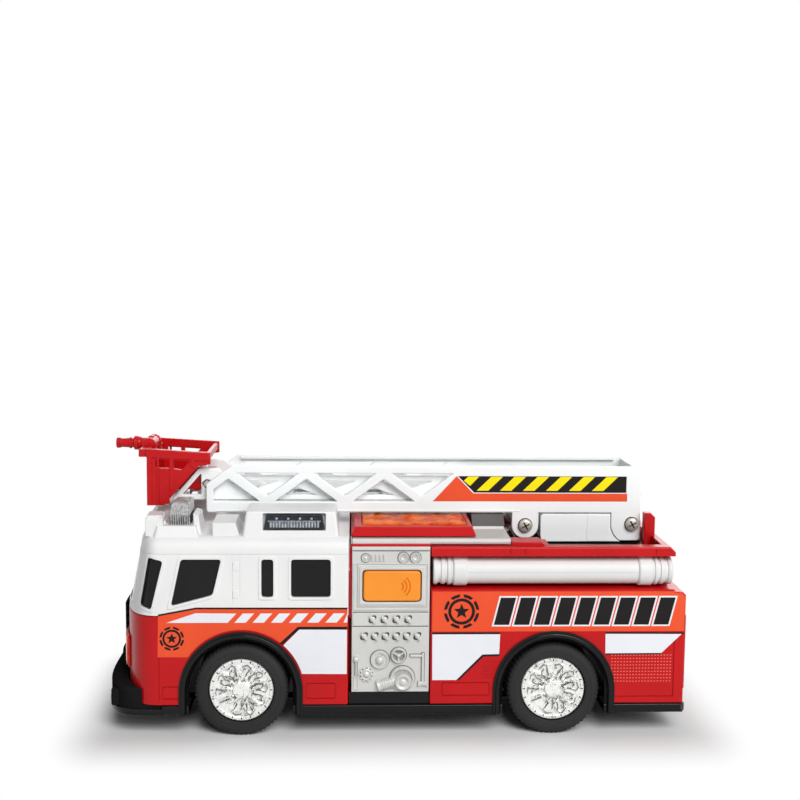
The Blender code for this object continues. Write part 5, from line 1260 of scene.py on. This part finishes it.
def buildTurret():
    (x0, x1), half, foot, top = turret["x"], turret["half"], turret["foot"], turret["top"]
    hollow = arc(turret["pivot"], 5.75, 238.4, 180, 16)
    house = [(x0 + 0.9, foot), (x0 + 0.2, foot + 0.6), (x0, foot + 1.6), (x0, top - 0.6), (x0 + 0.5, top),
             (x1 - 0.05, top)]
    parts = [plate("Y", -half, half, hollow + house[::-1], edge=0.2)]
    lug = arc(turret["pivot"], turret["lugR"], 0, 180, 24)
    lug += [(x1 - 0.5, 52.0), (x1 - 0.5, 47.1), (67.4, 47.1)]
    parts.append(plate("Y", -8.7, 8.7, lug, circle(turret["pivot"], 1.3, 24), edge=0.25))
    panel = plate("Y", -half - 0.14, -half + 0.3, rect((52.3, 58.3), (47.3, 54.4)), edge=0.06)
    parts.append(bothSides(panel))
    assemble("ladderHousing", inFinish(whitePlastic, *parts), "body", ["ladder_turret"])
    base = plate("Z", 45.3, 46.8, rounded(rect((30.8, 68.7), (-18.3, 18.3)), 0.6), edge=0.3)
    rib = plate("Y", -17.0, 17.0, rect((0, 0.8), (46.7, 47.0)), edge=0.1)
    ribs = rows(rib, blackPlastic, (32.0, 0, 0), 4, (1.9, 0, 0))
    ledge = bothSides(box((39.9, 68.8), (-24.6, -18.5), (47.8, 48.0)))
    parts = inFinish(blackPlastic, base, ribs) + [(ledge, guardBlack)]
    assemble("turretPlate", parts, "body", ["turret_plate"])


buildTurret()


# two ladder sections

ladder = {
    "x": (-49.5, 66.6), "z": (55.0, 67.4), "half": 11.0, "plate": 2.0, "topRail": 1.9, "bottomRail": 2.9,
    "halfPitch": 10.3, "trussX": (-54.0, 18.2), "bar": 2.4, "endPost": 1.8, "rung": 1.6, "rungPitch": 8.5,
    "rungs": 12, "pivot": turret["pivot"], "cheekR": 5.6, "tie": (35.5, 51.6), "lobeR": 3.6, "edge": 0.3,
    "frontCut": (6.7, 4.8),
}


def trussHoles(startX, endX, standing, z, limitX):  # triangles, alternately standing and hanging
    holes = []
    half, bar = ladder["halfPitch"], ladder["bar"]
    low, high = z
    nodeX = startX
    while nodeX + 2 * half <= endX + 0.001:
        base, tip = (low, high) if standing else (high, low)
        slope = abs(tip - base) / half
        shift = bar / 2 / math.sin(math.atan(slope))
        drop = shift * slope * math.copysign(1, tip - base)
        shape = [(nodeX + shift, base), (nodeX + 2 * half - shift, base), (nodeX + half, tip - drop)]
        clipped = []
        for i, (x1, z1) in enumerate(shape):
            x0, z0 = shape[i - 1]
            if (x0 < limitX) != (x1 < limitX):
                clipped.append((limitX, z0 + (z1 - z0) * (limitX - x0) / (x1 - x0)))
            if x1 >= limitX:
                clipped.append((x1, z1))
        holes.append(rounded(clipped, 0.35, 2))
        nodeX += half
        standing = not standing
    return holes


def ladderSide():
    (frontX, rearX), (low, high) = ladder["x"], ladder["z"]
    tieX = ladder["tie"][0]
    pivotX, pivotZ = ladder["pivot"]
    lobeR, cheekR = ladder["lobeR"], ladder["cheekR"]
    lobe = [(tieX - lobeR, low)] + arc(ladder["tie"], lobeR, 180, 360, 36) + [(tieX + lobeR, low)]
    cheek = [(pivotX - cheekR, low)] + arc(ladder["pivot"], cheekR, 180, 235.2, 16)
    side = [(frontX, low + 0.5), (frontX + 0.5, low)] + lobe + cheek
    side += [(rearX - 0.6, pivotZ - 4.6), (rearX, pivotZ - 4.0), (rearX, high - 0.4), (rearX - 0.4, high)]
    side += [(frontX + ladder["frontCut"][0], high), (frontX, high - ladder["frontCut"][1])]
    truss = (low + ladder["bottomRail"], high - ladder["topRail"])
    holes = trussHoles(*ladder["trussX"], True, truss, frontX + ladder["endPost"])
    return plate("Y", -ladder["half"], ladder["plate"] - ladder["half"], side, *holes, edge=ladder["edge"],
                 steps=3)


def buildOuterLadder():
    flank = ladderSide()
    lip = plate("Y", -9.4, -7.9, rect((-42.0, 63.4), (66.4, 67.1)), edge=0.15)
    band = plate("Y", -11.12, -10.8, rounded(rect((-47.0, 34.0), (55.3, 55.75)), 0.15), edge=0.08)
    parts = inFinish(whitePlastic, gather(flank, lip, band))
    assemblePair("outerLadder", parts, "outer_ladder", "outer_ladder")
    half, (tieX, tieZ) = 8.7, ladder["tie"]
    runner = plate("Y", -half, 1.1 - half, rect((-47.7, 66.3), (55.5, 57.1)), edge=0.2)
    parts = [bothSides(runner)]
    rung = plate("Y", 0.5 - half, half - 0.5, rounded(rect((0, ladder["rung"]), (55.75, 56.85)), 0.4),
                 edge=0.1)
    parts.append(rows(rung, whitePlastic, (-47.4, 0, 0), ladder["rungs"], (ladder["rungPitch"], 0, 0)))
    parts.append(plate("Y", 0.5 - half, half - 0.5, rounded(rect((65.0, 66.0), (55.8, 67.1)), 0.3),
                       edge=0.15))
    tie = lathe([(0, -half), (2.4, -half), (2.4, half), (0, half)], 32, outward(-1, tieX, 0, tieZ))
    parts.append(tie)
    parts.append(plate("Y", 0.5 - half, half - 0.5, rect((tieX - 1.1, tieX + 1.1), (tieZ, 56.5)), edge=0.15))
    assemble("outerLadderBed", inFinish(whitePlastic, *parts), "outer_ladder",
             ["outer_ladder_bed", "outer_ladder_end"])


buildOuterLadder()

hazard = {"pitch": 6.2, "wide": 3.1, "lean": 3.9, "z": (61.0, 64.8), "startX": 22.3, "endX": 62.6,
          "stripes": 6}


def buildLadderStickers():
    face = -ladder["half"]

    def film(layer, *loops):
        return plate("Y", face - 0.05 - 0.025 * layer, face + 0.2, *loops)

    low, high = hazard["z"]
    orange = film(0, [(10.6, 58.1), (62.9, 58.1), (62.9, 64.9), (16.9, 64.9)])
    edge = [(17.3, 64.9), (21.6, 60.5), (hazard["endX"], 60.5), (hazard["endX"], 64.9)]
    white = film(1, [(16.9, 64.9), (21.4, 60.25), (62.9, 60.25), (62.9, 64.9)])
    black = film(2, edge)
    yellow = [film(3, [(18.8, 63.7), (20.5, 62.3), (22.9, high), (20.0, high)])]
    for i in range(hazard["stripes"]):
        x = hazard["startX"] + hazard["pitch"] * i
        yellow.append(film(3, [(x, low), (x + hazard["wide"], low),
                               (x + hazard["wide"] + hazard["lean"], high), (x + hazard["lean"], high)]))
    parts = [(bothSides(orange), printOrange), (bothSides(white), printWhite), (bothSides(black), printBlack),
             (bothSides(*yellow), printYellow)]
    assemble("ladderStickers", parts, "outer_ladder")


buildLadderStickers()

inner = {"half": 8.7, "plate": 1.7, "rearX": 20.0, "z": (57.9, 66.4), "waist": 64.5, "rail": 1.4, "rungs": 7,
         "pin": (-49.5, 62.2), "heel": (-60.6, 56.9), "slope": 1.146}


def basketBack(z):  # leaning back of the basket, which the ladder tip follows
    return inner["heel"][0] + (z - inner["heel"][1]) / inner["slope"]


def buildInnerLadder():
    low, high = inner["z"]
    waist = inner["waist"]
    outline = [(basketBack(low) + 0.6, low), (inner["rearX"], low), (inner["rearX"], waist), (-44.6, waist),
               (-46.6, high), (basketBack(high) + 0.6, high)]
    truss = (low + inner["rail"], waist - inner["rail"])
    startX = inner["pin"][0] + 1.8
    holes = trussHoles(startX, inner["rearX"], False, truss, startX)
    bar, tipX = 2.4, inner["pin"][0] - 1.6
    peak = inner["heel"][1] + (tipX - bar - inner["heel"][0]) * inner["slope"]
    holes.append(rounded([(basketBack(truss[0]) + bar, truss[0]), (tipX, truss[0]), (tipX, peak)], 0.3, 2))
    holes.append(circle(inner["pin"], 1.2, 20))
    side = plate("Y", -inner["half"], inner["plate"] - inner["half"], rounded(outline, 0.5, 3), *holes,
                 edge=0.25)
    parts = [bothSides(side)]
    rung = plate("Y", -7.4, 7.4, rounded(rect((0, 1.6), (58.2, 59.8)), 0.4), edge=0.1)
    parts.append(rows(rung, whitePlastic, (-53.75, 0, 0), inner["rungs"], (8.5, 0, 0)))
    assemble("innerLadder", inFinish(whitePlastic, *parts), "inner_ladder", ["inner_ladder"])


buildInnerLadder()


# rescue basket and its nozzle

basket = {"x": (-65.0, -48.3), "half": 11.6, "wall": 1.4, "floor": inner["heel"][1], "rail": (72.0, 71.0),
          "railHeight": 2.2, "window": 2.7}
nozzle = {"pivot": (-65.4, 72.0), "tip": -74.8, "r": 1.3, "collarR": 1.9, "bossR": 1.7, "bossHalf": 3.0}


def railTop(x):
    (front, rear), (high, low) = basket["x"], basket["rail"]
    return high + (low - high) * (x - front) / (rear - front)


def buildBasket():
    (front, rear), half, wall = basket["x"], basket["half"], basket["wall"]
    floor, (railFront, railRear) = basket["floor"], basket["rail"]
    low, heelX, slope = railRear - basket["railHeight"], inner["heel"][0], inner["slope"]
    pivotX, pivotZ = nozzle["pivot"]

    def under(x, drop=0.0):
        return railTop(x) - basket["railHeight"] - drop

    outline = [(front, floor), (heelX, floor), (basketBack(67.4), 67.4), (rear, 67.9), (rear, railRear),
               (front, railFront)]
    drop, (a, b), (c, d) = basket["window"], (front + 2.4, front + 6.0), (front + 7.1, -53.4)
    square = [(a, under(a, drop)), (b, under(b, drop)), (b, under(b)), (a, under(a))]
    triangle = [(c, under(c, drop)), (d - 2.4, under(d, drop)), (d, under(d)), (c, under(c))]
    side = plate("Y", -half, wall - half, outline, rounded(square, 0.2, 2), rounded(triangle, 0.2, 2),
                 edge=0.2)
    band = [(front - 0.1, under(front)), (rear - 0.1, under(rear)), (rear - 0.1, railRear - 0.05),
            (front - 0.1, railFront - 0.05)]
    band = plate("Y", -half - 0.35, -half + 0.4, band, edge=0.2)
    hem = [(front + 0.5, under(front) - 0.35), (rear - 0.3, under(rear) - 0.35), (rear - 0.3, under(rear)),
           (front + 0.5, under(front))]
    hem = plate("Y", -half - 0.12, -half + 0.4, hem, edge=0.1)
    ribs = []
    for x, width in ((front + 0.75, 1.3), (front + 3.0, 0.6), (front + 6.55, 1.1), (front + 12.0, 0.9)):
        foot = max(floor + 0.2, floor + (x - heelX) * slope + 1.6)
        ribs.append(plate("Y", -half - 0.3, -half + 0.4,
                          rect((x - width / 2, x + width / 2), (foot, under(x) + 0.2)), edge=0.12))
    crease = plate("Y", -half - 0.14, -half + 0.4, rect((front + 3.3, front + 6.0), (floor + 0.5, 66.2)),
                   edge=0.1)
    parts = [bothSides(side, band, hem, crease, *ribs)]
    inside = half - wall + 0.4
    face = plate("X", front + 0.25, front + wall, rect((-inside, inside), (floor + 0.3, railRear)), edge=0.2)
    parts.append(solve(face, box((-70, -60), (-5.1, 5.1), (68.2, 75))))
    rim = plate("Z", 69.8, 71.85, rounded(rect((-67.1, front + 0.6), (-11.4, -5.3)), 0.4), edge=0.25)
    parts.append(bothSides(rim))
    parts.append(plate("Z", floor + 0.3, floor + wall, rect((front + 0.4, heelX - 0.3), (-inside, inside)),
                       edge=0.15))
    slant = wall * math.hypot(1, slope) / slope
    lowZ, highZ = floor + 0.3, low - 0.9
    back = [(basketBack(lowZ) - 0.3, lowZ), (basketBack(highZ) - 0.3, highZ),
            (basketBack(highZ) - slant, highZ), (basketBack(lowZ) - slant, lowZ)]
    parts.append(plate("Y", -inside, inside, back, edge=0.15))
    parts.append(plate("X", rear - wall, rear - 0.3, rect((-inside, inside), (low + 0.1, railRear - 0.3)),
                       edge=0.2))
    tongue = [(basketBack(60.3) - 0.8, 60.3), (-47.7, 60.3), (-47.7, 63.1), (-48.6, 64.5),
              (basketBack(64.5) - 0.8, 64.5)]
    parts.append(plate("Y", -6.4, 6.4, tongue, circle(inner["pin"], 1.2, 20), edge=0.25))
    earR = 1.9
    ear = arc(nozzle["pivot"], earR, 0, 180, 20)
    ear += [(pivotX - earR, 70.1), (front + 0.5, 66.8), (front + 1.1, 66.8), (pivotX + earR, 70.1)]
    parts.append(bothSides(plate("Y", -4.8, -3.3, ear, edge=0.2)))
    stud = lathe([(0, 0.25), (1.0, 0.25), (1.25, 0.0), (1.25, -0.3), (0, -0.3)], 28,
                 outward(-1, pivotX, -4.8, pivotZ))
    parts.append(bothSides(stud))
    rib = plate("X", front - 0.1, front + 0.6, rounded(rect((-0.4, 0.4), (floor + 1.0, 67.4)), 0.2),
                edge=0.15)
    parts.append(rows(rib, redPlastic, (0, -8.0, 0), 5, (0, 4.0, 0)))
    slat = plate("Y", -inside + 0.2, inside - 0.2, rounded(rect((0, 0.5), (floor + 1.2, floor + 1.65)), 0.15),
                 edge=0.08)
    parts.append(rows(slat, redPlastic, (-63.2, 0, 0), 2, (0.9, 0, 0)))
    assemble("rescueBasket", inFinish(redPlastic, *parts), "inner_ladder",
             ["basket", "cannon_pin"])


buildBasket()


def buildNozzle():
    pivotX, pivotZ = nozzle["pivot"]
    reach, r, collar = pivotX - nozzle["tip"], nozzle["r"], nozzle["collarR"]
    profile = [(0, 0), (r + 0.1, 0), (r + 0.1, 2.6), (r + 0.35, 2.8), (r + 0.35, 3.2), (collar - 0.15, 3.4),
               (collar, 3.6), (collar, 4.5), (collar - 0.2, 4.7), (r, 4.8), (r, 5.3), (r + 0.22, 5.45),
               (r + 0.22, 5.9), (r, 6.05), (r - 0.1, reach - 1.6), (r - 0.05, reach - 1.1),
               (r + 0.12, reach - 0.95), (r + 0.12, reach - 0.15), (r, reach), (0.85, reach),
               (0.7, reach - 0.2), (0.7, reach - 2.8), (0, reach - 2.8)]
    place = Matrix.Translation((pivotX, 0, pivotZ)) @ Matrix.Rotation(-math.pi / 2, 4, "Y")
    barrel = lathe(profile, 32, place)
    boss = nozzle["bossR"]
    half = nozzle["bossHalf"]
    drum = lathe([(0.95, -half), (boss - 0.2, -half), (boss, 0.2 - half), (boss, half - 0.2),
                  (boss - 0.2, half), (0.95, half), (0.95, -half)], 32, outward(-1, pivotX, 0, pivotZ))
    knob = plate("Z", pivotZ + 1.4, pivotZ + 2.1, rounded(rect((pivotX - 0.6, pivotX + 0.6), (-1.6, 1.6)),
                                                          0.4), edge=0.2)
    assemble("waterNozzle", inFinish(redPlastic, barrel, drum, knob), "cannon",
             ["water_cannon"])


buildNozzle()


# wheels: tread rubber and bright discs

wheel = {
    "r": 12.0, "width": 9.0, "face": 27.5, "discR": 8.2, "seat": 2.8, "thick": 1.8, "lugs": 60, "spokes": 10,
    "hubR": 2.3, "boltR": 7.55, "bolts": 20, "nutR": 3.4, "seed": 7,
}


def buildWheels():
    r, width, disc = wheel["r"], wheel["width"], wheel["discR"]
    web = width - wheel["seat"]
    hole = disc + 0.3
    tread = r - 0.12
    tyre = [(1.3, 0), (3.0, 0), (3.0, web / 2), (hole, web / 2), (hole, 0.3), (hole + 0.3, 0), (r - 1.4, 0),
            (r - 0.8, 0.25), (tread, 0.9), (tread, 3.2), (tread - 0.3, 3.3), (tread - 0.3, 3.7), (tread, 3.8),
            (tread, 5.2), (tread - 0.3, 5.3), (tread - 0.3, 5.7), (tread, 5.8), (tread, width - 1.5),
            (tread - 0.1, width - 1.0), (r - 0.6, width - 0.42), (r - 1.1, width - 0.14),
            (r - 1.8, width - 0.02), (10.1, width), (10.02, width - 0.07), (9.94, width - 0.07),
            (9.86, width), (8.98, width), (8.92, width - 0.06), (8.84, width - 0.06), (8.78, width),
            (hole + 0.12, width), (hole, width - 0.1), (hole, web), (1.3, web), (1.3, 0)]
    lug = loft([[(-0.5, -0.33, -1.6), (-0.5, 0.33, -1.6), (0.0, 0.26, -1.6), (0.0, -0.26, -1.6)],
                [(-0.5, -0.33, 0.3), (-0.5, 0.33, 0.3), (0.0, 0.26, 0.25), (0.0, -0.26, 0.25)],
                [(-0.9, -0.27, 0.95), (-0.9, 0.27, 0.95), (-0.34, 0.2, 0.9), (-0.34, -0.2, 0.9)]])
    block = plate("Z", -0.55, 0.55, [(-0.5, -0.4), (0.0, -0.33), (0.0, 0.33), (-0.5, 0.4)])
    count = wheel["lugs"]
    shoulder = Matrix.Translation((0, 0, width - 1.35))
    rubber = [lathe(tyre, 120), ring(lug, tyreRubber, count, r, shoulder)]
    flip = Matrix.Translation((0, 0, 1.35)) @ Matrix.Rotation(math.pi, 4, "X")
    rubber.append(ring(lug, tyreRubber, count, r, flip))
    rubber.append(ring(block, tyreRubber, count, r, Matrix.Translation((0, 0, 4.5))))
    base = web + 0.3
    face = base + wheel["thick"]
    bright = [lathe([(0, base), (disc, base), (disc, face - 0.2), (disc - 0.2, face), (disc - 0.85, face),
                     (disc - 1.0, face - 0.12), (0, face - 0.5)], 72)]
    bright.append(discRelief(face))
    octagon = [polar(wheel["hubR"], 45 * i + 22.345) for i in range(8)]
    bright.append(plate("Z", face - 0.5, face + 0.5, octagon, edge=0.22, steps=3))
    nut = lathe([(0, 0.28), (0.24, 0.28), (0.34, 0.12), (0.36, -0.3), (0, -0.3)], 6)
    bright.append(ring(nut, chromePlate, wheel["spokes"], wheel["nutR"],
                       Matrix.Translation((0, 0, face + 0.05))))
    pin = plate("Z", -0.2, 0.04, rect((-0.3, 0.3), (-0.12, 0.12)))
    pins = ring(pin, blackPlastic, wheel["bolts"], wheel["boltR"], Matrix.Translation((0, 0, face)))
    paintedReflections = discPaintedReflections(face)
    for axle, axleX in zip(("front", "rear"), chassis["axles"]):
        for side, name in ((-1, "left"), (1, "right")):
            seat = outward(side, axleX, side * (wheel["face"] - width), chassis["axleZ"])
            label = axle.title() + name.title()
            body = axle + "_axle"
            parts = [(placed(mesh, seat), tyreRubber) for mesh in rubber]
            assemble("tyre" + label, parts, body, [axle + "_tyre_" + name], sharp=38)
            parts = inFinish(chromePlate, *bright) + [(pins, blackPlastic), (paintedReflections, chromePaintedReflection)]
            parts = [(placed(mesh, seat), finish) for mesh, finish in parts]
            assemble("wheelDisc" + label, parts, body, [axle + "_wheel_disc_" + name], sharp=22)


def polar(radius, turn):
    return radius * math.cos(math.radians(turn)), radius * math.sin(math.radians(turn))


def discPaintedReflections(face):  # painted dark reflections along the folds between the spokes, one set of strokes per spoke
    rng = random.Random(wheel["seed"])
    bm = bmesh.new()
    for k in range(wheel["spokes"]):
        middle = 36 * k + 9
        lines = [[(2.7, -10), (3.4, -11), (4.2, -7), (5.2, -9), (6.4, -13)],
                 [(2.7, 8), (3.6, 7), (4.6, 12), (5.7, 9)], [(2.6, -14), (2.95, -3), (2.6, 11)],
                 [(4.8, 15), (5.5, 22)], [(6.3, -14), (6.75, -4), (6.3, 5)],
                 [(3.5, 14), (3.9, 18), (4.4, 15)], [(5.2, -3), (5.9, 1), (5.4, 5)]]
        for line in lines:
            if rng.random() < 0.16:
                continue
            thick = rng.uniform(0.04, 0.1)
            line = [(radius + rng.uniform(-0.22, 0.22), turn + rng.uniform(-3, 3)) for radius, turn in line]
            points = [Vector(polar(radius, middle + turn)) for radius, turn in line]
            left, right = [], []
            for i, point in enumerate(points):
                along = points[min(i + 1, len(points) - 1)] - points[max(i - 1, 0)]
                taper = 0.35 if i in (0, len(points) - 1) else 1
                aside = Vector((-along.y, along.x)).normalized() * thick * taper
                left.append(bm.verts.new((*(point + aside), face + 0.3)))
                right.append(bm.verts.new((*(point - aside), face + 0.3)))
            for i in range(len(points) - 1):
                bm.faces.new((left[i], right[i], right[i + 1], left[i + 1]))
    solid = bmesh.ops.extrude_face_region(bm, geom=bm.faces[:])
    moved = [item for item in solid["geom"] if isinstance(item, bmesh.types.BMVert)]
    bmesh.ops.translate(bm, vec=(0, 0, -0.5), verts=moved)
    return settle(bm)


def discRelief(face):  # ten bent spokes pressed into the bright disc
    bm = bmesh.new()
    turns, bands = 120, 9
    inside, outside = wheel["hubR"] - 0.2, wheel["discR"] - 0.95
    loops = []
    for k in range(bands + 1):
        part = k / bands
        radius = inside + (outside - inside) * part
        loop = []
        for i in range(turns):
            turn = 2 * math.pi * i / turns
            wave = math.cos(wheel["spokes"] * (turn + 0.18 * math.sin(part * 3.1)))
            spoke = max(0.0, min(1.0, 0.5 + 1.4 * wave))
            crease = noise.noise(Vector((radius * 0.9 * math.cos(turn), radius * 0.9 * math.sin(turn), 5.3)))
            height = -0.42 + 0.5 * spoke * (1 - 0.45 * part) + 0.26 * crease
            if k in (0, bands):
                height = -0.3 if k == bands else -0.1
            loop.append(bm.verts.new((radius * math.cos(turn), radius * math.sin(turn),
                                      face + min(height, 0.28))))
        loops.append(loop)
    skinBetween(bm, loops)
    under = [bm.verts.new((v.co.x, v.co.y, face - 0.95)) for v in loops[0]]
    rim = [bm.verts.new((v.co.x, v.co.y, face - 0.95)) for v in loops[-1]]
    for pair in ((under, loops[0]), (loops[-1], rim), (rim, under)):
        skinBetween(bm, pair)
    return settle(bm)


buildWheels()


# cross-head screws

screw = {"slot": 0.4, "reach": 1.15}


def crossHead():  # pan head with its cross recess, and a dark floor in the recess that paints its shade
    head = lathe([(0, -3.0), (0.9, -3.0), (0.9, 0), (1.72, 0), (1.8, 0.12), (1.78, 0.4), (1.55, 0.75),
                  (1.1, 0.95), (0, 1.0)], 36)
    half, reach = screw["slot"] / 2, screw["reach"]
    floors = []
    for turn in (0.5, 0.5 + math.pi / 2):
        spin = Matrix.Rotation(turn, 4, "Z")
        head = solve(head, placed(plate("Z", 0.3, 1.4, rect((-reach, reach), (-half, half))), spin))
        floors.append(placed(plate("Z", 0.1, 0.34, rect((-reach, reach), (-half, half))), spin))
    return head, gather(*floors)


def buildScrews():
    head, recess = crossHead()
    places = [(x, -11.3, z) for x, z in (ladder["pivot"], ladder["tie"])]
    left, dark = [placed(mesh, outward(-1, 0, 0, 0)) for mesh in (head, recess)]
    left, dark = spots(left, screwSteel, places), spots(dark, screwPaintedShade, places)
    # painted shade: a dark ring round each ladder screw head
    collar = lathe([(0, 0.06), (1.98, 0.06), (1.98, -0.3), (0, -0.3)], 36, outward(-1, 0, -11.0, 0))
    shadeRings = spots(collar, screwPaintedShade, [(x, 0, z) for x, _, z in places])
    parts = [(bothSides(left), screwSteel), (bothSides(dark, shadeRings), screwPaintedShade)]
    names = ["ladder_" + end + "_screw_" + name for end in ("pivot", "tie") for name in ("left", "right")]
    assemble("ladderScrews", parts, "outer_ladder", names)
    places = [(x, y, 7.0) for x in (-58.5, 71.8) for y in (-23.8, 23.8)] + [(34.6, 0, 7.0)]
    under, dark = [placed(mesh, Matrix.Rotation(math.pi, 4, "X")) for mesh in (head, recess)]
    parts = [(spots(under, screwSteel, places), screwSteel), (spots(dark, screwPaintedShade, places), screwPaintedShade)]
    names = ["chassis_screw_" + end + "_" + name for end in ("front", "rear") for name in ("left", "right")]
    assemble("chassisScrews", parts, "body", names + ["battery_cover_screw"])
    cover = plate("Z", 6.0, 7.6, rounded(rect((11.0, 37.5), (-7.7, 7.7)), 0.6), circle((34.6, 0), 2.1, 28),
                  edge=0.2)
    grip = plate("Y", -5.0, 5.0, rounded(rect((0, 0.7), (5.75, 6.2)), 0.2), edge=0.15)
    grips = rows(grip, blackPlastic, (13.0, 0, 0), 5, (1.5, 0, 0))
    assemble("batteryLid", inFinish(blackPlastic, cover, grips), "body", ["battery_cover"])


buildScrews()


# finishes for the CAD pieces that stay as they are

steelNodes = ("front_axle", "rear_axle", "basket_pin", "cannon_pin", "battery_cell_1", "battery_cell_2",
              "battery_cell_3")
innerFinish = dict.fromkeys(steelNodes, screwSteel)
innerFinish.update(circuit_board=boardGreen, deck_led=clearLens)
for nodeName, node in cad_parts.items():
    node.data.materials.clear()
    node.data.materials.append(innerFinish.get(nodeName, blackPlastic))
print("inner pieces finished")


# floor, light and camera

stage = {"floor": 3.0, "middle": (0.002, 0, 0), "clear": (0.074, 0.026, 0), "fade": (60.0, 38.0, 0),
         "world": 0.15, "grey": 0.78}


def buildStage():
    mesh = bpy.data.meshes.new("floor")
    half = stage["floor"]
    mesh.from_pydata([(x, y, 0) for x, y in rect((-half, half), (-half, half))], [], [(0, 1, 2, 3)])
    floor = workObject(mesh, "floor")
    material = bpy.data.materials.new("paleFloor")
    material.use_nodes = True
    tree = material.node_tree
    shader = tree.nodes["Principled BSDF"]
    fill(shader, {"Base Color": (*[stage["grey"]] * 3, 1), "Roughness": 0.9, "Specular IOR Level": 0.0})
    out = tree.nodes.new("ShaderNodeTexCoord").outputs["Object"]  # the floor melts into the white backdrop
    steps = (("SUBTRACT", stage["middle"]), ("ABSOLUTE", None), ("SUBTRACT", stage["clear"]),
             ("MAXIMUM", (0, 0, 0)), ("MULTIPLY", stage["fade"]), ("LENGTH", None))
    for operation, numbers in steps:
        step = tree.nodes.new("ShaderNodeVectorMath")
        step.operation = operation
        tree.links.new(out, step.inputs[0])
        if numbers:
            step.inputs[1].default_value = numbers
        out = step.outputs["Value" if operation == "LENGTH" else "Vector"]
    far = tree.nodes.new("ShaderNodeMapRange")
    far.interpolation_type = "SMOOTHSTEP"
    tree.links.new(out, far.inputs["Value"])
    glow = tree.nodes.new("ShaderNodeEmission")
    join = tree.nodes.new("ShaderNodeMixShader")
    share = maths(tree, "MULTIPLY", cameraRays(tree), far.outputs["Result"])
    for source, socket in zip((share, shader.outputs[0], glow.outputs[0]), join.inputs):
        tree.links.new(source, socket)
    tree.links.new(join.outputs[0], tree.nodes["Material Output"].inputs["Surface"])
    mesh.materials.append(material)
    world = bpy.data.worlds.new("studio")
    scene.world = world
    world.use_nodes = True
    tree = world.node_tree
    background = tree.nodes["Background"]
    background.inputs["Color"].default_value = (1, 1, 1, 1)
    level = stretch(tree, cameraRays(tree), 0.0, 1.0, (stage["world"], 1.0))
    tree.links.new(level, background.inputs["Strength"])


def cameraRays(tree):  # 1 for what the camera, metal and glass see
    path = tree.nodes.new("ShaderNodeLightPath")
    total = path.outputs["Is Camera Ray"]
    for label in ("Is Glossy Ray", "Is Transmission Ray"):
        total = maths(tree, "MAXIMUM", total, path.outputs[label])
    return total


softboxes = (  # place, aim, size, power
    ((0.2, -0.9, 0.85), (0, 0, 0.03), 0.6, 7.4),
    ((0.5, -0.88, 0.65), (0, 0, 0.04), 0.7, 7.1),
    ((0.1, 0.95, 0.5), (0, 0, 0.04), 0.8, 3.8),
)


def buildLights():
    for i, (place, aim, size, power) in enumerate(softboxes):
        light = bpy.data.lights.new("softbox%d" % i, "AREA")
        light.size = size
        light.energy = power
        lamp = workObject(light, "softbox%d" % i)
        lamp.location = place
        lamp.rotation_euler = (Vector(aim) - Vector(place)).to_track_quat("-Z", "Y").to_euler()


view = {"eye": (-0.0122, -0.3261, 0.1178), "turn": 2.5, "dip": 5.9, "roll": 0.58, "lens": 54.0}


def buildCamera():
    data = bpy.data.cameras.new("camera")
    data.lens = view["lens"]
    data.sensor_width = 36.0
    data.clip_start = 0.01
    camera = workObject(data, "camera")
    turn, dip = math.radians(view["turn"]), math.radians(view["dip"])
    ahead = Vector((math.sin(turn) * math.cos(dip), math.cos(turn) * math.cos(dip), -math.sin(dip)))
    right = ahead.cross(Vector((0, 0, 1))).normalized()
    up = right.cross(ahead)
    roll = math.radians(view["roll"])
    right, up = right * math.cos(roll) + up * math.sin(roll), up * math.cos(roll) - right * math.sin(roll)
    pose = Matrix((right, up, -ahead)).transposed().to_4x4()
    camera.matrix_world = Matrix.Translation(view["eye"]) @ pose
    scene.camera = camera


buildStage()
buildLights()
buildCamera()
scene.view_settings.view_transform = "Standard"
print("stage set")
